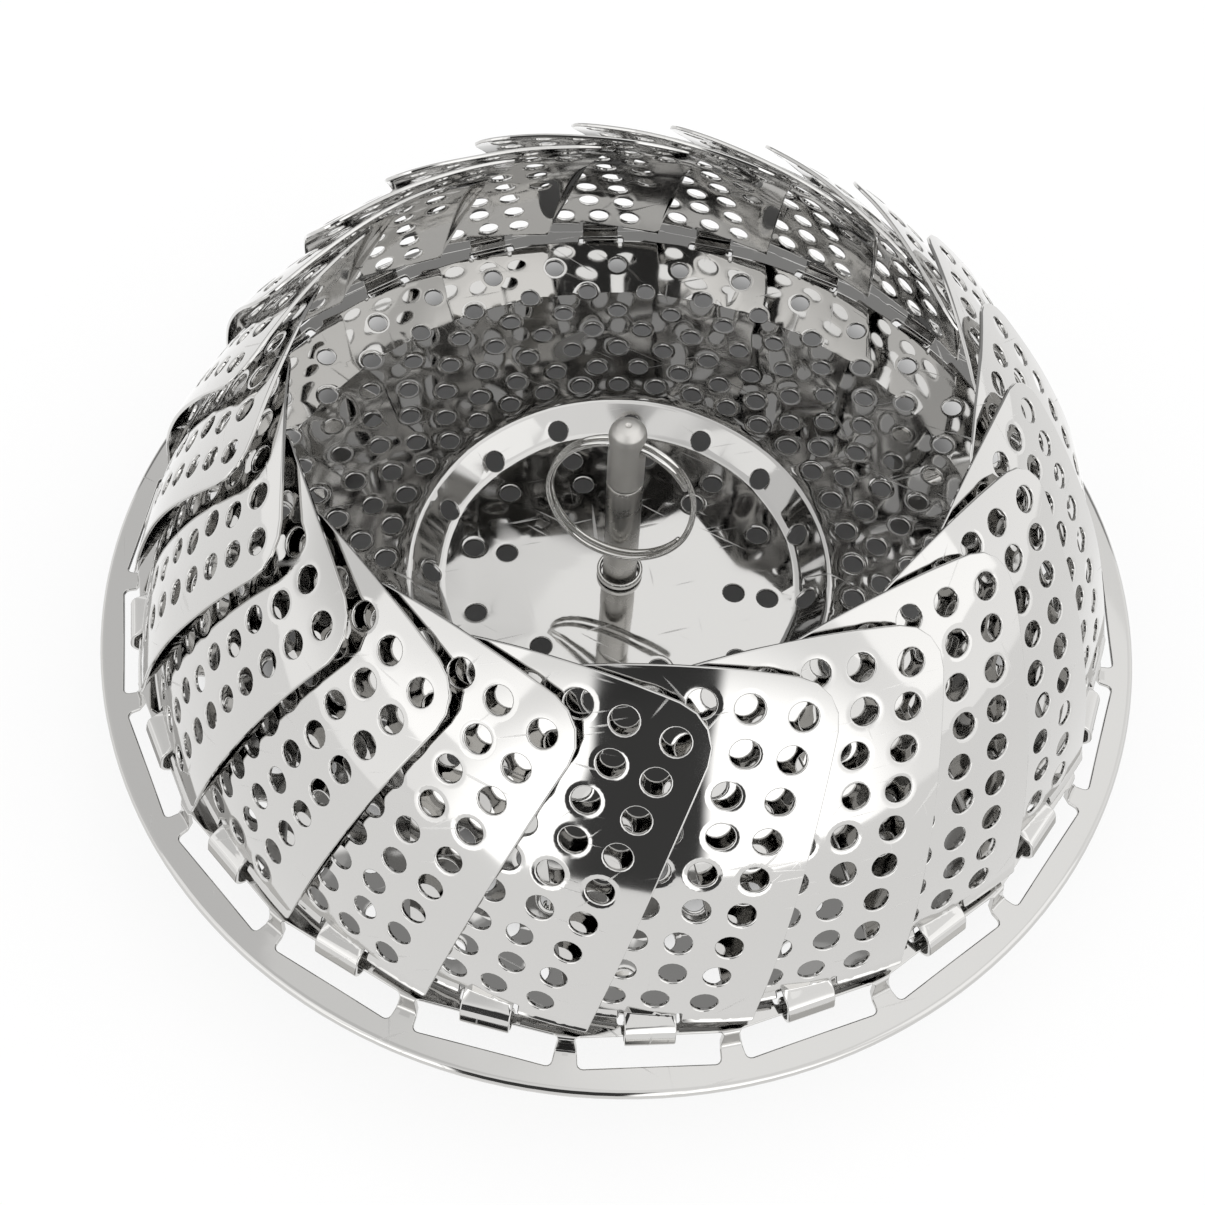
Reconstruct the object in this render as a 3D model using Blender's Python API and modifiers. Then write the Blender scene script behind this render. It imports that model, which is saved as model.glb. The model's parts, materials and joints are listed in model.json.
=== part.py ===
"""Folding steamer insert.

A perforated sheet-metal pan stands on three folding legs. Twenty-two perforated leaves hang on the hinge
bars of its rim by rolled tongues, overlap like roof shingles and lean inward over the pan. A screwed
centre post carries the split ring that the insert is lifted by.

Lengths are in metres and +Z is up. The origin is on the table, under the post. +X is to the right of
someone who stands in front of the insert, at -Y.
"""

import math

import bmesh
import bpy
from mathutils import Matrix, Vector

# How many of each
LEAF_COUNT = 22
LEG_COUNT = 3

# Gaps between pieces, and how far a cutter passes a face
SEAT_GAP = 0.0003
SWING_GAP = 0.0006
OVERRUN = 0.002

# Pan: one pressed sheet, with its heights counted from the flat rim
RIM_HEIGHT = 0.022
RIM_RADIUS = 0.078
PAN_SHEET = 0.0006
RIM_CURL_DROP = 0.0014
RIM_CURL_REACH = 0.0009
FLOOR_DROP = 0.0008
DISH_FLOOR_RADIUS = 0.0275
DISH_WALL_RUN = 0.0042
DISH_LIP_RISE = 0.0026
CREASE_RISE = 0.0014
BAND_WIDTH = 0.0123
HINGE_INSET = 0.0074
HINGE_RISE = 0.0028
HINGE_BAR_WIDTH = 0.0014
RISER_RUN = 0.0006
LEDGE_MARGIN = 0.0004
SPOKE_WIDTH = 0.0024
WINDOW_DEPTH = 0.0030
WINDOW_CORNER = 0.0008
PAN_STEPS = 44

# Pan holes
PUNCH_DIAMETER = 0.0031
PAN_HOLE_SIDES = 6

# Leaves
LEAF_SHEET = 0.0005
LEAF_LENGTH = 0.0503
LEAF_LEAN_DEG = 17.0
LEAF_CURVE_RADIUS = 0.0811
LEAF_BANDS = 3
FIRST_LEAF_DEG = -100.55
FOOT_LAP = 0.0025
LEFT_SPREAD = 0.0038
RIGHT_SPREAD = 0.0086
LEAF_CORNER = 0.0055
LEAF_BEND_SHARE = 0.83
LEAF_TILT_SHARE = 0.10
FOLD_HEIGHT = 0.0036
FOOT_HEIGHT = 0.0022
FOOT_FLARE_SHARE = 0.45
TONGUE_WIDTH = 0.0064
TONGUE_SLIT = 0.0006
TONGUE_SIDE_GAP = 0.0007
HOOK_GAP = 0.00034
HOOK_END_DEG = -165.0
HOOK_STEPS = 5
LEAF_HOLE_DIAMETER = 0.0033
LEAF_HOLE_SIDES = 6
LEAF_HOLE_ROWS = 9
LEAF_HOLE_COLUMN_STEP = 0.0056
LEAF_HOLE_COLUMN_RISE = 0.0011
LEAF_HOLE_FAN_SHARE = 0.25
FIRST_HOLE_HEIGHT = 0.0055
TOP_HOLE_MARGIN = 0.0037
HOLE_EDGE_MARGIN = 0.0062
LEAF_HOLES_MADE = ((1, 0), (4, 0), (7, 0), (1, 2), (4, 2), (7, 2))

# Centre post: a rod screwed through the dish, a screwed cap, an eyelet, a washer and a nut
POST_RADIUS = 0.0026
POST_SHOULDER_RISE = 0.0327
CAP_LENGTH = 0.0104
POST_DOME_HEIGHT = 0.0015
POST_CHAMFER = 0.0003
POST_STEPS = 16
STUD_RADIUS = 0.0018
SPIGOT_RADIUS = 0.0015
SPIGOT_LENGTH = 0.0040
RING_HOLE_DROP = 0.0021
RING_HOLE_TURN_DEG = -13.0
EYELET_WALL = 0.0006
EYELET_HEIGHT = 0.0011
WASHER_RADIUS = 0.0052
WASHER_SHEET = 0.0006
NUT_ACROSS = 0.0070
NUT_HEIGHT = 0.0026
STUD_PROUD = 0.0006

# Split ring: one wire wound twice
RING_OUTER_DIAMETER = 0.0216
RING_WIRE = 0.00085
RING_COIL_GAP = 0.00043
RING_TURNS = 2
RING_POINTS_PER_TURN = 24
RING_STEP_SHARE = 1 / 6

# Legs: a strip rolled round a pin, in a bracket welded under the pan
LEG_INSET = 0.0043
FIRST_LEG_DEG = -90.0
LEG_SPLAY_DEG = 8.0
LEG_SHEET = 0.0008
LEG_TOP_WIDTH = 0.0110
LEG_FOOT_WIDTH = 0.0090
LEG_FOOT_LENGTH = 0.0045
PIN_RADIUS = 0.0008
PIN_HEAD_RADIUS = 0.0014
PIN_HEAD_HEIGHT = 0.0006
PIN_STEPS = 12
BARREL_STEPS = 8
BARREL_MOUTH_DEG = 40.0
BRACKET_SHEET = 0.0008
BRACKET_REACH = 0.0030
BRACKET_SKIRT = 0.0022

# Values worked out from the sizes above
DISH_LIP_RADIUS = DISH_FLOOR_RADIUS + DISH_WALL_RUN
HINGE_RADIUS = RIM_RADIUS - HINGE_INSET
CREASE_RADIUS = HINGE_RADIUS - BAND_WIDTH
LEG_RADIUS = CREASE_RADIUS - LEG_INSET
PAN_FLOOR = RIM_HEIGHT - FLOOR_DROP
PAN_FLOOR_UNDER = PAN_FLOOR - PAN_SHEET
HINGE_HEIGHT = RIM_HEIGHT + HINGE_RISE
LEDGE_RISE = HINGE_RISE + PAN_SHEET / 2
BAR_CORNER = math.hypot(HINGE_BAR_WIDTH, PAN_SHEET) / 2
HOOK_RADIUS = BAR_CORNER + HOOK_GAP + LEAF_SHEET / 2
HOOK_OUTER = HOOK_RADIUS + LEAF_SHEET / 2
SLOT_INNER = HINGE_RADIUS - HOOK_OUTER - SWING_GAP
SLOT_LENGTH = TONGUE_WIDTH + 2 * TONGUE_SIDE_GAP
SLIT_SIDE = TONGUE_WIDTH / 2 + TONGUE_SLIT
BAR_INNER = HINGE_RADIUS - HINGE_BAR_WIDTH / 2
BAR_OUTER = HINGE_RADIUS + HINGE_BAR_WIDTH / 2
WINDOW_LENGTH = 2 * BAR_OUTER * math.tan(math.pi / LEAF_COUNT) - SPOKE_WIDTH
FOOT_LEFT = HINGE_RADIUS * math.tan(math.pi / LEAF_COUNT)
FOOT_RIGHT = FOOT_LEFT + FOOT_LAP
TOP_LEFT = FOOT_LEFT + LEFT_SPREAD
TOP_RIGHT = FOOT_RIGHT + RIGHT_SPREAD
LEAF_BEND_RADIUS = HINGE_RADIUS * LEAF_BEND_SHARE
FIRST_HOLE_SIDE = FOOT_RIGHT - HOLE_EDGE_MARGIN
LEAF_HOLE_ROW_STEP = (LEAF_LENGTH - FIRST_HOLE_HEIGHT - TOP_HOLE_MARGIN) / (LEAF_HOLE_ROWS - 1)
POST_JOINT_RISE = POST_SHOULDER_RISE - CAP_LENGTH
RING_HOLE_RISE = POST_SHOULDER_RISE - RING_HOLE_DROP
RING_RADIUS = (RING_OUTER_DIAMETER - RING_WIRE) / 2
RING_PITCH = RING_WIRE + RING_COIL_GAP
RING_HALF_BUNDLE = (RING_TURNS - 1) * RING_PITCH / 2 + RING_WIRE / 2
RING_HANG = math.asin((POST_RADIUS + SEAT_GAP + RING_HALF_BUNDLE) / (2 * RING_RADIUS))
RING_SAG = RING_RADIUS - math.sqrt(RING_RADIUS ** 2 - POST_RADIUS ** 2)
RING_HOLE_RADIUS = math.hypot(RING_HALF_BUNDLE, RING_WIRE / 2 + RING_SAG) + SEAT_GAP
BARREL_RADIUS = PIN_RADIUS + SEAT_GAP + LEG_SHEET / 2
BARREL_OUTER = BARREL_RADIUS + LEG_SHEET / 2
BRACKET_TOP = RIM_HEIGHT + CREASE_RISE - PAN_SHEET - SEAT_GAP
PIVOT_HEIGHT = BRACKET_TOP - BRACKET_SHEET - SEAT_GAP - BARREL_OUTER
BRACKET_INSIDE = LEG_TOP_WIDTH + 2 * SEAT_GAP
BRACKET_LENGTH = BRACKET_INSIDE + 2 * BRACKET_SHEET

# Rings of holes in the pan: the band's two radii, the share of the way across it, the count, the first angle
PAN_HOLE_RING_SHARES = (
    (CREASE_RADIUS, SLOT_INNER, 0.55, 30, 43.4),
    (DISH_LIP_RADIUS, CREASE_RADIUS, 0.62, 24, 38.5),
    (0, DISH_FLOOR_RADIUS, 0.84, 12, 22.4),
    (0, DISH_FLOOR_RADIUS, 0.65, 6, -8.0),
)


def clear_scene():
    """Removes every object that the file opens with."""
    for item in list(bpy.data.objects):
        bpy.data.objects.remove(item, do_unlink=True)


def new_collection(name):
    """Returns a new collection in the scene."""
    collection = bpy.data.collections.new(name)
    bpy.context.scene.collection.children.link(collection)
    return collection


def new_material(name, colour, roughness, metallic):
    """Returns a Principled material with one colour, roughness and metallic value."""
    material = bpy.data.materials.new(name)
    material.use_nodes = True
    shader = material.node_tree.nodes["Principled BSDF"]
    shader.inputs["Base Color"].default_value = (*colour, 1.0)
    shader.inputs["Roughness"].default_value = roughness
    shader.inputs["Metallic"].default_value = metallic
    return material


def add_object(name, mesh, collection, material=None):
    """Puts a mesh in the scene under a name."""
    item = bpy.data.objects.new(name, mesh)
    collection.objects.link(item)
    if material is not None:
        mesh.materials.clear()
        mesh.materials.append(material)
    return item


def mesh_from(bm, name):
    """Turns a bmesh into a mesh and frees it."""
    mesh = bpy.data.meshes.new(name)
    bm.to_mesh(mesh)
    bm.free()
    return mesh


def shade_round(mesh, angle_deg=35.0):
    """Shades a mesh smooth, with sharp edges past the angle."""
    mesh.shade_smooth()
    mesh.set_sharp_from_angle(angle=math.radians(angle_deg))


def make_cutter(name, bm, collection):
    """Keeps a bmesh as a cutter, which isn't rendered."""
    cutter = add_object(name, mesh_from(bm, name), collection)
    cutter.hide_render = True
    cutter.display_type = "WIRE"
    return cutter


def cut(item, cutter, operation="DIFFERENCE"):
    """Adds a Boolean with an exact solver."""
    boolean = item.modifiers.new("cut", "BOOLEAN")
    boolean.operation = operation
    boolean.solver = "EXACT"
    boolean.object = cutter


def baked_mesh(item):
    """Returns the evaluated mesh of an object in its own space, and removes the object."""
    depsgraph = bpy.context.evaluated_depsgraph_get()
    mesh = bpy.data.meshes.new_from_object(item.evaluated_get(depsgraph))
    bpy.data.objects.remove(item, do_unlink=True)
    return mesh


def turned(name, profile, steps, collection, material, closed=False):
    """Turns a profile of (radius, height) points about Z. It runs down its outer side."""
    bm = bmesh.new()
    points = [bm.verts.new((radius, 0, height)) for radius, height in profile]
    for first, second in zip(points, points[1:]):
        bm.edges.new((first, second))
    if closed:
        bm.edges.new((points[-1], points[0]))
    item = add_object(name, mesh_from(bm, name), collection, material)
    screw = item.modifiers.new("turn", "SCREW")
    screw.steps = steps
    screw.render_steps = steps
    screw.use_merge_vertices = True
    screw.merge_threshold = 0.000001
    return item


def rounded_box(bm, size, corner, matrix):
    """Adds a box with bevelled upright edges to a bmesh."""
    box = bmesh.new()
    bmesh.ops.create_cube(box, size=1.0, matrix=Matrix.Diagonal((*size, 1.0)))
    if corner > 0:
        upright = [edge for edge in box.edges if abs(edge.verts[0].co.z - edge.verts[1].co.z) > corner]
        bmesh.ops.bevel(box, geom=upright, offset=corner, segments=1, affect="EDGES", profile=0.5)
    box.transform(matrix)
    mesh = mesh_from(box, "box")
    bm.from_mesh(mesh)
    bpy.data.meshes.remove(mesh)


def turn_about_z(degrees):
    """Returns a rotation about Z."""
    return Matrix.Rotation(math.radians(degrees), 4, "Z")


def leaf_angle(index):
    """Returns the angle of a leaf's hinge, in degrees."""
    return FIRST_LEAF_DEG + index * 360 / LEAF_COUNT


def pan_profile():
    """Returns the upper side of the pan's sheet, from the stud hole out to the curled rim."""
    lip = DISH_LIP_RADIUS
    ledge_inner = SLOT_INNER + LEDGE_MARGIN
    ledge_outer = BAR_OUTER + PAN_SHEET + SEAT_GAP
    fillet = PAN_SHEET
    return (
        (STUD_RADIUS + SEAT_GAP, -FLOOR_DROP),
        (DISH_FLOOR_RADIUS, -FLOOR_DROP),
        (lip - fillet, DISH_LIP_RISE - fillet / 2),
        (lip + fillet, DISH_LIP_RISE),
        (CREASE_RADIUS, CREASE_RISE),
        (ledge_inner, LEDGE_RISE),
        (ledge_outer, LEDGE_RISE),
        (ledge_outer + RISER_RUN, 0),
        (RIM_RADIUS - RIM_CURL_REACH, 0),
        (RIM_RADIUS, -RIM_CURL_DROP),
    )


def pan_punches(collection):
    """Makes the cutter for the windows, tongue slots and round holes of the pan."""
    bm = bmesh.new()
    through = 2 * (LEDGE_RISE + FLOOR_DROP + PAN_SHEET + OVERRUN)
    window = (WINDOW_DEPTH, WINDOW_LENGTH, through)
    slot = (BAR_INNER - SLOT_INNER, SLOT_LENGTH, through)
    for index in range(LEAF_COUNT):
        turn = turn_about_z(leaf_angle(index))
        at_window = Matrix.Translation((BAR_OUTER + WINDOW_DEPTH / 2, 0, RIM_HEIGHT))
        rounded_box(bm, window, WINDOW_CORNER, turn @ at_window)
        at_slot = Matrix.Translation(((BAR_INNER + SLOT_INNER) / 2, 0, RIM_HEIGHT))
        rounded_box(bm, slot, 0, turn @ at_slot)
    for inner, outer, share, count, first_deg in PAN_HOLE_RING_SHARES:
        radius = inner + share * (outer - inner)
        for index in range(count):
            turn = turn_about_z(first_deg + index * 360 / count)
            bmesh.ops.create_cone(
                bm, cap_ends=True, segments=PAN_HOLE_SIDES, radius1=PUNCH_DIAMETER / 2,
                radius2=PUNCH_DIAMETER / 2, depth=through,
                matrix=turn @ Matrix.Translation((radius, 0, RIM_HEIGHT)),
            )
    return make_cutter("pan_punches", bm, collection)


def build_pan(parts, cutters, steel):
    """Builds the pressed and punched pan."""
    profile = [(radius, RIM_HEIGHT + rise) for radius, rise in pan_profile()]
    pan = turned("base_pan", profile, PAN_STEPS, parts, steel)
    shell = pan.modifiers.new("sheet", "SOLIDIFY")
    shell.thickness = PAN_SHEET
    shell.offset = -1.0
    shell.use_even_offset = True
    cut(pan, pan_punches(cutters))
    shade_round(pan.data)


def leaf_depth(side):
    """Returns how far the leaf's middle surface stands outward at a sideways place."""
    return LEAF_TILT_SHARE * side - side * side / (2 * LEAF_BEND_RADIUS)


def leaf_edges(height):
    """Returns the sideways places of the leaf's two edges at a height above the hinge."""
    share = (height - FOOT_HEIGHT) / (LEAF_LENGTH - FOOT_HEIGHT)
    left = -(FOOT_LEFT + share * (TOP_LEFT - FOOT_LEFT))
    right = FOOT_RIGHT + share * (TOP_RIGHT - FOOT_RIGHT)
    return left, right


def leaf_columns(height):
    """Returns the sideways places of the leaf's grid at a height: edges, corners and the tongue's sides."""
    left, right = leaf_edges(height)
    top_left, top_right = leaf_edges(LEAF_LENGTH)
    corner = LEAF_CORNER * (right - left) / (top_right - top_left)
    tongue = TONGUE_WIDTH / 2
    return left, left + corner, -tongue, tongue, right - corner, right


def leaf_place(side, height, out=0.0):
    """Returns a point of the leaf's middle surface, which curves inward above the fold."""
    turn = max(0.0, (height - FOLD_HEIGHT) / LEAF_CURVE_RADIUS)
    depth = leaf_depth(side) + out
    inward = LEAF_CURVE_RADIUS * (1 - math.cos(turn))
    up = min(height, FOLD_HEIGHT) + LEAF_CURVE_RADIUS * math.sin(turn)
    return depth * math.cos(turn) - inward, side, up + depth * math.sin(turn)


def leaf_blade(bm):
    """Makes the blade from the fold up, with rounded upper corners, and returns its fold line."""
    rows = []
    for band in range(LEAF_BANDS):
        height = FOLD_HEIGHT + (LEAF_LENGTH - FOLD_HEIGHT) * band / LEAF_BANDS
        rows.append([bm.verts.new(leaf_place(side, height)) for side in leaf_columns(height)])
    sides = leaf_columns(LEAF_LENGTH)
    drops = [LEAF_CORNER] + [0] * (len(sides) - 2) + [LEAF_CORNER]
    rows.append([bm.verts.new(leaf_place(side, LEAF_LENGTH - drop)) for side, drop in zip(sides, drops)])
    step = LEAF_CORNER * (1 - math.sqrt(0.5))
    left_slit = bm.verts.new(leaf_place(-SLIT_SIDE, FOLD_HEIGHT))
    right_slit = bm.verts.new(leaf_place(SLIT_SIDE, FOLD_HEIGHT))
    extra = {
        (0, 1): (1, left_slit),
        (0, 3): (1, right_slit),
        (LEAF_BANDS - 1, 0): (3, bm.verts.new(leaf_place(sides[0] + step, LEAF_LENGTH - step))),
        (LEAF_BANDS - 1, 4): (3, bm.verts.new(leaf_place(sides[-1] - step, LEAF_LENGTH - step))),
    }
    for band, (low, high) in enumerate(zip(rows, rows[1:])):
        for column in range(len(low) - 1):
            corners = [low[column], low[column + 1], high[column + 1], high[column]]
            if (band, column) in extra:
                corners.insert(*extra[band, column])
            bm.faces.new(corners)
    fold = rows[0]
    return [fold[0], fold[1], left_slit], [fold[2], fold[3]], [right_slit, fold[4], fold[5]]


def hook_path():
    """Returns (outward, up) points of the tongue, tangent from the fold and then round the bar from outside."""
    start = math.pi / 2 - math.acos(HOOK_RADIUS / FOLD_HEIGHT)
    end = math.radians(HOOK_END_DEG)
    angles = [start + (end - start) * step / HOOK_STEPS for step in range(HOOK_STEPS + 1)]
    return [(HOOK_RADIUS * math.cos(angle), HOOK_RADIUS * math.sin(angle)) for angle in angles]


def leaf_surface():
    """Returns the leaf's middle surface: foot, fold, blade and tongue. X is outward and Z is up."""
    bm = bmesh.new()
    left_fold, tongue_fold, right_fold = leaf_blade(bm)
    foot_out = (FOLD_HEIGHT - FOOT_HEIGHT) * FOOT_FLARE_SHARE
    sides = leaf_columns(FOOT_HEIGHT)
    left_sides = (sides[0], sides[1], -SLIT_SIDE)
    right_sides = (SLIT_SIDE, sides[4], sides[5])
    for fold, places in ((left_fold, left_sides), (right_fold, right_sides)):
        foot = [bm.verts.new(leaf_place(side, FOOT_HEIGHT, foot_out)) for side in places]
        for column in range(len(foot) - 1):
            bm.faces.new((foot[column], foot[column + 1], fold[column + 1], fold[column]))
    left, right = tongue_fold
    for out, up in hook_path():
        next_left = bm.verts.new((out, -TONGUE_WIDTH / 2, up))
        next_right = bm.verts.new((out, TONGUE_WIDTH / 2, up))
        bm.faces.new((next_left, next_right, right, left))
        left, right = next_left, next_right
    return bm


def leaf_hole_place(row, column):
    """Returns the sideways place and height of a hole, in rows up the leaf and columns from its right."""
    rise = row * LEAF_HOLE_ROW_STEP
    side = FIRST_HOLE_SIDE + rise * LEAF_HOLE_FAN_SHARE - column * LEAF_HOLE_COLUMN_STEP
    return side, FIRST_HOLE_HEIGHT + rise + column * LEAF_HOLE_COLUMN_RISE


def leaf_punches(collection):
    """Makes the cutter for one leaf's holes, each square to the curved blade."""
    bm = bmesh.new()
    depth = 2 * (LEAF_SHEET + OVERRUN)
    for row, column in LEAF_HOLES_MADE:
        side, height = leaf_hole_place(row, column)
        turn = (height - FOLD_HEIGHT) / LEAF_CURVE_RADIUS
        place = Matrix.Translation(leaf_place(side, height))
        bmesh.ops.create_cone(
            bm, cap_ends=True, segments=LEAF_HOLE_SIDES, radius1=LEAF_HOLE_DIAMETER / 2,
            radius2=LEAF_HOLE_DIAMETER / 2, depth=depth,
            matrix=place @ Matrix.Rotation(math.pi / 2 - turn, 4, "Y"),
        )
    return make_cutter("leaf_punches", bm, collection)


def leaf_mesh(parts, cutters, steel):
    """Returns the mesh that all leaves share, with its origin on the hinge axis."""
    leaf = add_object("leaf_pattern", mesh_from(leaf_surface(), "leaf"), parts, steel)
    shell = leaf.modifiers.new("sheet", "SOLIDIFY")
    shell.thickness = LEAF_SHEET
    shell.offset = 0.0
    shell.use_even_offset = True
    cut(leaf, leaf_punches(cutters))
    mesh = baked_mesh(leaf)
    shade_round(mesh)
    return mesh


def build_leaves(parts, cutters, steel):
    """Hangs the leaves on their hinge bars, leaning inward."""
    mesh = leaf_mesh(parts, cutters, steel)
    for index in range(LEAF_COUNT):
        angle = math.radians(leaf_angle(index))
        leaf = add_object(f"petal_{index + 1:02d}", mesh, parts)
        leaf.location = (HINGE_RADIUS * math.cos(angle), HINGE_RADIUS * math.sin(angle), HINGE_HEIGHT)
        leaf.rotation_euler = (0, math.radians(-LEAF_LEAN_DEG), angle)


def build_post_rod(parts, steel):
    """Builds the rod: a stud below the dish, the shaft, and a spigot inside the cap."""
    foot = PAN_FLOOR + SEAT_GAP
    joint = RIM_HEIGHT + POST_JOINT_RISE
    stud_end = PAN_FLOOR_UNDER - 3 * SEAT_GAP - WASHER_SHEET - NUT_HEIGHT - STUD_PROUD
    profile = (
        (0, joint + SPIGOT_LENGTH),
        (SPIGOT_RADIUS, joint + SPIGOT_LENGTH),
        (SPIGOT_RADIUS, joint),
        (POST_RADIUS - POST_CHAMFER, joint),
        (POST_RADIUS, joint - POST_CHAMFER),
        (POST_RADIUS, foot),
        (STUD_RADIUS, foot),
        (STUD_RADIUS, stud_end + POST_CHAMFER),
        (STUD_RADIUS - POST_CHAMFER, stud_end),
        (0, stud_end),
    )
    rod = turned("post_rod", profile, POST_STEPS, parts, steel)
    shade_round(rod.data)


def build_post_cap(parts, cutters, metal):
    """Builds the domed cap, bored for the spigot and cross-drilled for the ring."""
    base = RIM_HEIGHT + POST_JOINT_RISE + SEAT_GAP
    shoulder = RIM_HEIGHT + POST_SHOULDER_RISE
    bore = SPIGOT_RADIUS + SEAT_GAP
    bore_top = base + SPIGOT_LENGTH
    dome_steps = 3
    dome = []
    for step in range(dome_steps):
        angle = math.radians(90.0) * (1 - step / dome_steps)
        dome.append((POST_RADIUS * math.cos(angle), shoulder + POST_DOME_HEIGHT * math.sin(angle)))
    dome[0] = (0, shoulder + POST_DOME_HEIGHT)
    profile = dome + [
        (POST_RADIUS, shoulder),
        (POST_RADIUS, base + POST_CHAMFER),
        (POST_RADIUS - POST_CHAMFER, base),
        (bore, base),
        (bore, bore_top),
        (0, bore_top),
    ]
    cap = turned("post_cap", profile, POST_STEPS, parts, metal)
    drill = bmesh.new()
    lay_down = Matrix.Rotation(math.radians(90.0), 4, "Y")
    place = Matrix.Translation((0, 0, RIM_HEIGHT + RING_HOLE_RISE)) @ turn_about_z(RING_HOLE_TURN_DEG)
    bmesh.ops.create_cone(
        drill, cap_ends=True, segments=POST_STEPS, radius1=RING_HOLE_RADIUS, radius2=RING_HOLE_RADIUS,
        depth=2 * (POST_RADIUS + OVERRUN), matrix=place @ lay_down,
    )
    cut(cap, make_cutter("ring_hole_drill", drill, cutters))
    shade_round(cap.data)


def build_post_fixings(parts, cutters, steel):
    """Builds the eyelet on the dish floor, and the washer and nut under it."""
    inner = POST_RADIUS + SEAT_GAP
    outer = inner + EYELET_WALL
    low = PAN_FLOOR + SEAT_GAP
    high = low + EYELET_HEIGHT
    eyelet = (
        (inner, high),
        (outer - POST_CHAMFER, high),
        (outer, high - POST_CHAMFER),
        (outer, low),
        (inner, low),
    )
    ring = turned("post_eyelet", eyelet, POST_STEPS, parts, steel, closed=True)
    shade_round(ring.data)
    bore = STUD_RADIUS + SEAT_GAP
    washer_top = PAN_FLOOR_UNDER - SEAT_GAP
    washer_low = washer_top - WASHER_SHEET
    washer = (
        (bore, washer_top),
        (WASHER_RADIUS, washer_top),
        (WASHER_RADIUS, washer_low),
        (bore, washer_low),
    )
    disc = turned("post_washer", washer, POST_STEPS, parts, steel, closed=True)
    shade_round(disc.data)
    build_nut(parts, cutters, steel, washer_low - SEAT_GAP, bore)


def build_nut(parts, cutters, steel, top, bore):
    """Builds the hexagon nut below the washer."""
    place = Matrix.Translation((0, 0, top - NUT_HEIGHT / 2))
    corner = NUT_ACROSS / 2 / math.cos(math.pi / 6)
    block = bmesh.new()
    bmesh.ops.create_cone(
        block, cap_ends=True, segments=6, radius1=corner, radius2=corner, depth=NUT_HEIGHT, matrix=place,
    )
    drill = bmesh.new()
    bmesh.ops.create_cone(
        drill, cap_ends=True, segments=POST_STEPS, radius1=bore, radius2=bore,
        depth=NUT_HEIGHT + 2 * OVERRUN, matrix=place,
    )
    nut = add_object("post_nut", mesh_from(block, "post_nut"), parts, steel)
    cut(nut, make_cutter("nut_drill", drill, cutters))


def ring_point(turn):
    """Returns a point of the coil, which lies in XZ. It steps along Y to the next turn within a short arc."""
    angle = 2 * math.pi * turn
    level = 0
    for step in range(1, RING_TURNS):
        share = (turn - step) / RING_STEP_SHARE + 0.5
        level += min(max(share, 0), 1)
    along = (level - (RING_TURNS - 1) / 2) * RING_PITCH
    return Vector((RING_RADIUS * math.cos(angle), along, RING_RADIUS * math.sin(angle)))


def ring_points():
    """Returns the coil's points. The wire's ends stop short of the step, one on each side of it."""
    first = RING_STEP_SHARE / 2
    count = round((RING_TURNS - RING_STEP_SHARE) * RING_POINTS_PER_TURN)
    return [ring_point(first + index / RING_POINTS_PER_TURN) for index in range(count + 1)]


def build_split_ring(parts, wire):
    """Winds the split ring and hangs it in the cap's cross hole, against the front of the post."""
    points = ring_points()
    apart = RING_POINTS_PER_TURN // 2
    least = min((one - two).length for at, one in enumerate(points) for two in points[at + apart:])
    print(f"split ring: least gap between its turns {(least - RING_WIRE) * 1000:.3f} mm")
    curve = bpy.data.curves.new("split_ring", "CURVE")
    curve.dimensions = "3D"
    curve.bevel_depth = RING_WIRE / 2
    curve.bevel_resolution = 1
    curve.use_fill_caps = True
    spline = curve.splines.new("POLY")
    spline.points.add(len(points) - 1)
    for target, point in zip(spline.points, points):
        target.co = (*point, 1.0)
    curve.materials.append(wire)
    ring = bpy.data.objects.new("split_ring", curve)
    parts.objects.link(ring)
    hinge = bpy.data.objects.new("ring_hinge", None)
    parts.objects.link(hinge)
    hinge.location = (0, 0, RIM_HEIGHT + RING_HOLE_RISE)
    hinge.rotation_euler = (-RING_HANG, 0, math.radians(RING_HOLE_TURN_DEG))
    ring.parent = hinge
    ring.location = (0, 0, -RING_RADIUS)


def leg_path():
    """Returns (outward, up) points of a leg's middle surface: foot, strip, and the barrel round the pin."""
    splay = math.radians(LEG_SPLAY_DEG)
    side = Vector((math.cos(splay), math.sin(splay)))
    down = Vector((math.sin(splay), -math.cos(splay)))
    ankle_height = LEG_SHEET / 2
    run = (PIVOT_HEIGHT - ankle_height + side.y * BARREL_RADIUS) / math.cos(splay)
    ankle = side * BARREL_RADIUS + down * run
    toe = ankle + Vector((LEG_FOOT_LENGTH, 0))
    points = [toe, ankle]
    sweep = math.radians(360 - BARREL_MOUTH_DEG)
    for step in range(BARREL_STEPS + 1):
        angle = splay + sweep * step / BARREL_STEPS
        points.append(Vector((math.cos(angle), math.sin(angle))) * BARREL_RADIUS)
    return points


def leg_mesh():
    """Returns a leg's middle surface, with its origin on the pin's axis. X is outward, Y along the pin."""
    bm = bmesh.new()
    last = None
    for index, point in enumerate(leg_path()):
        half = (LEG_FOOT_WIDTH if index < 2 else LEG_TOP_WIDTH) / 2
        pair = (bm.verts.new((point.x, -half, point.y)), bm.verts.new((point.x, half, point.y)))
        if last is not None:
            bm.faces.new((last[0], last[1], pair[1], pair[0]))
        last = pair
    return mesh_from(bm, "leg")


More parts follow.
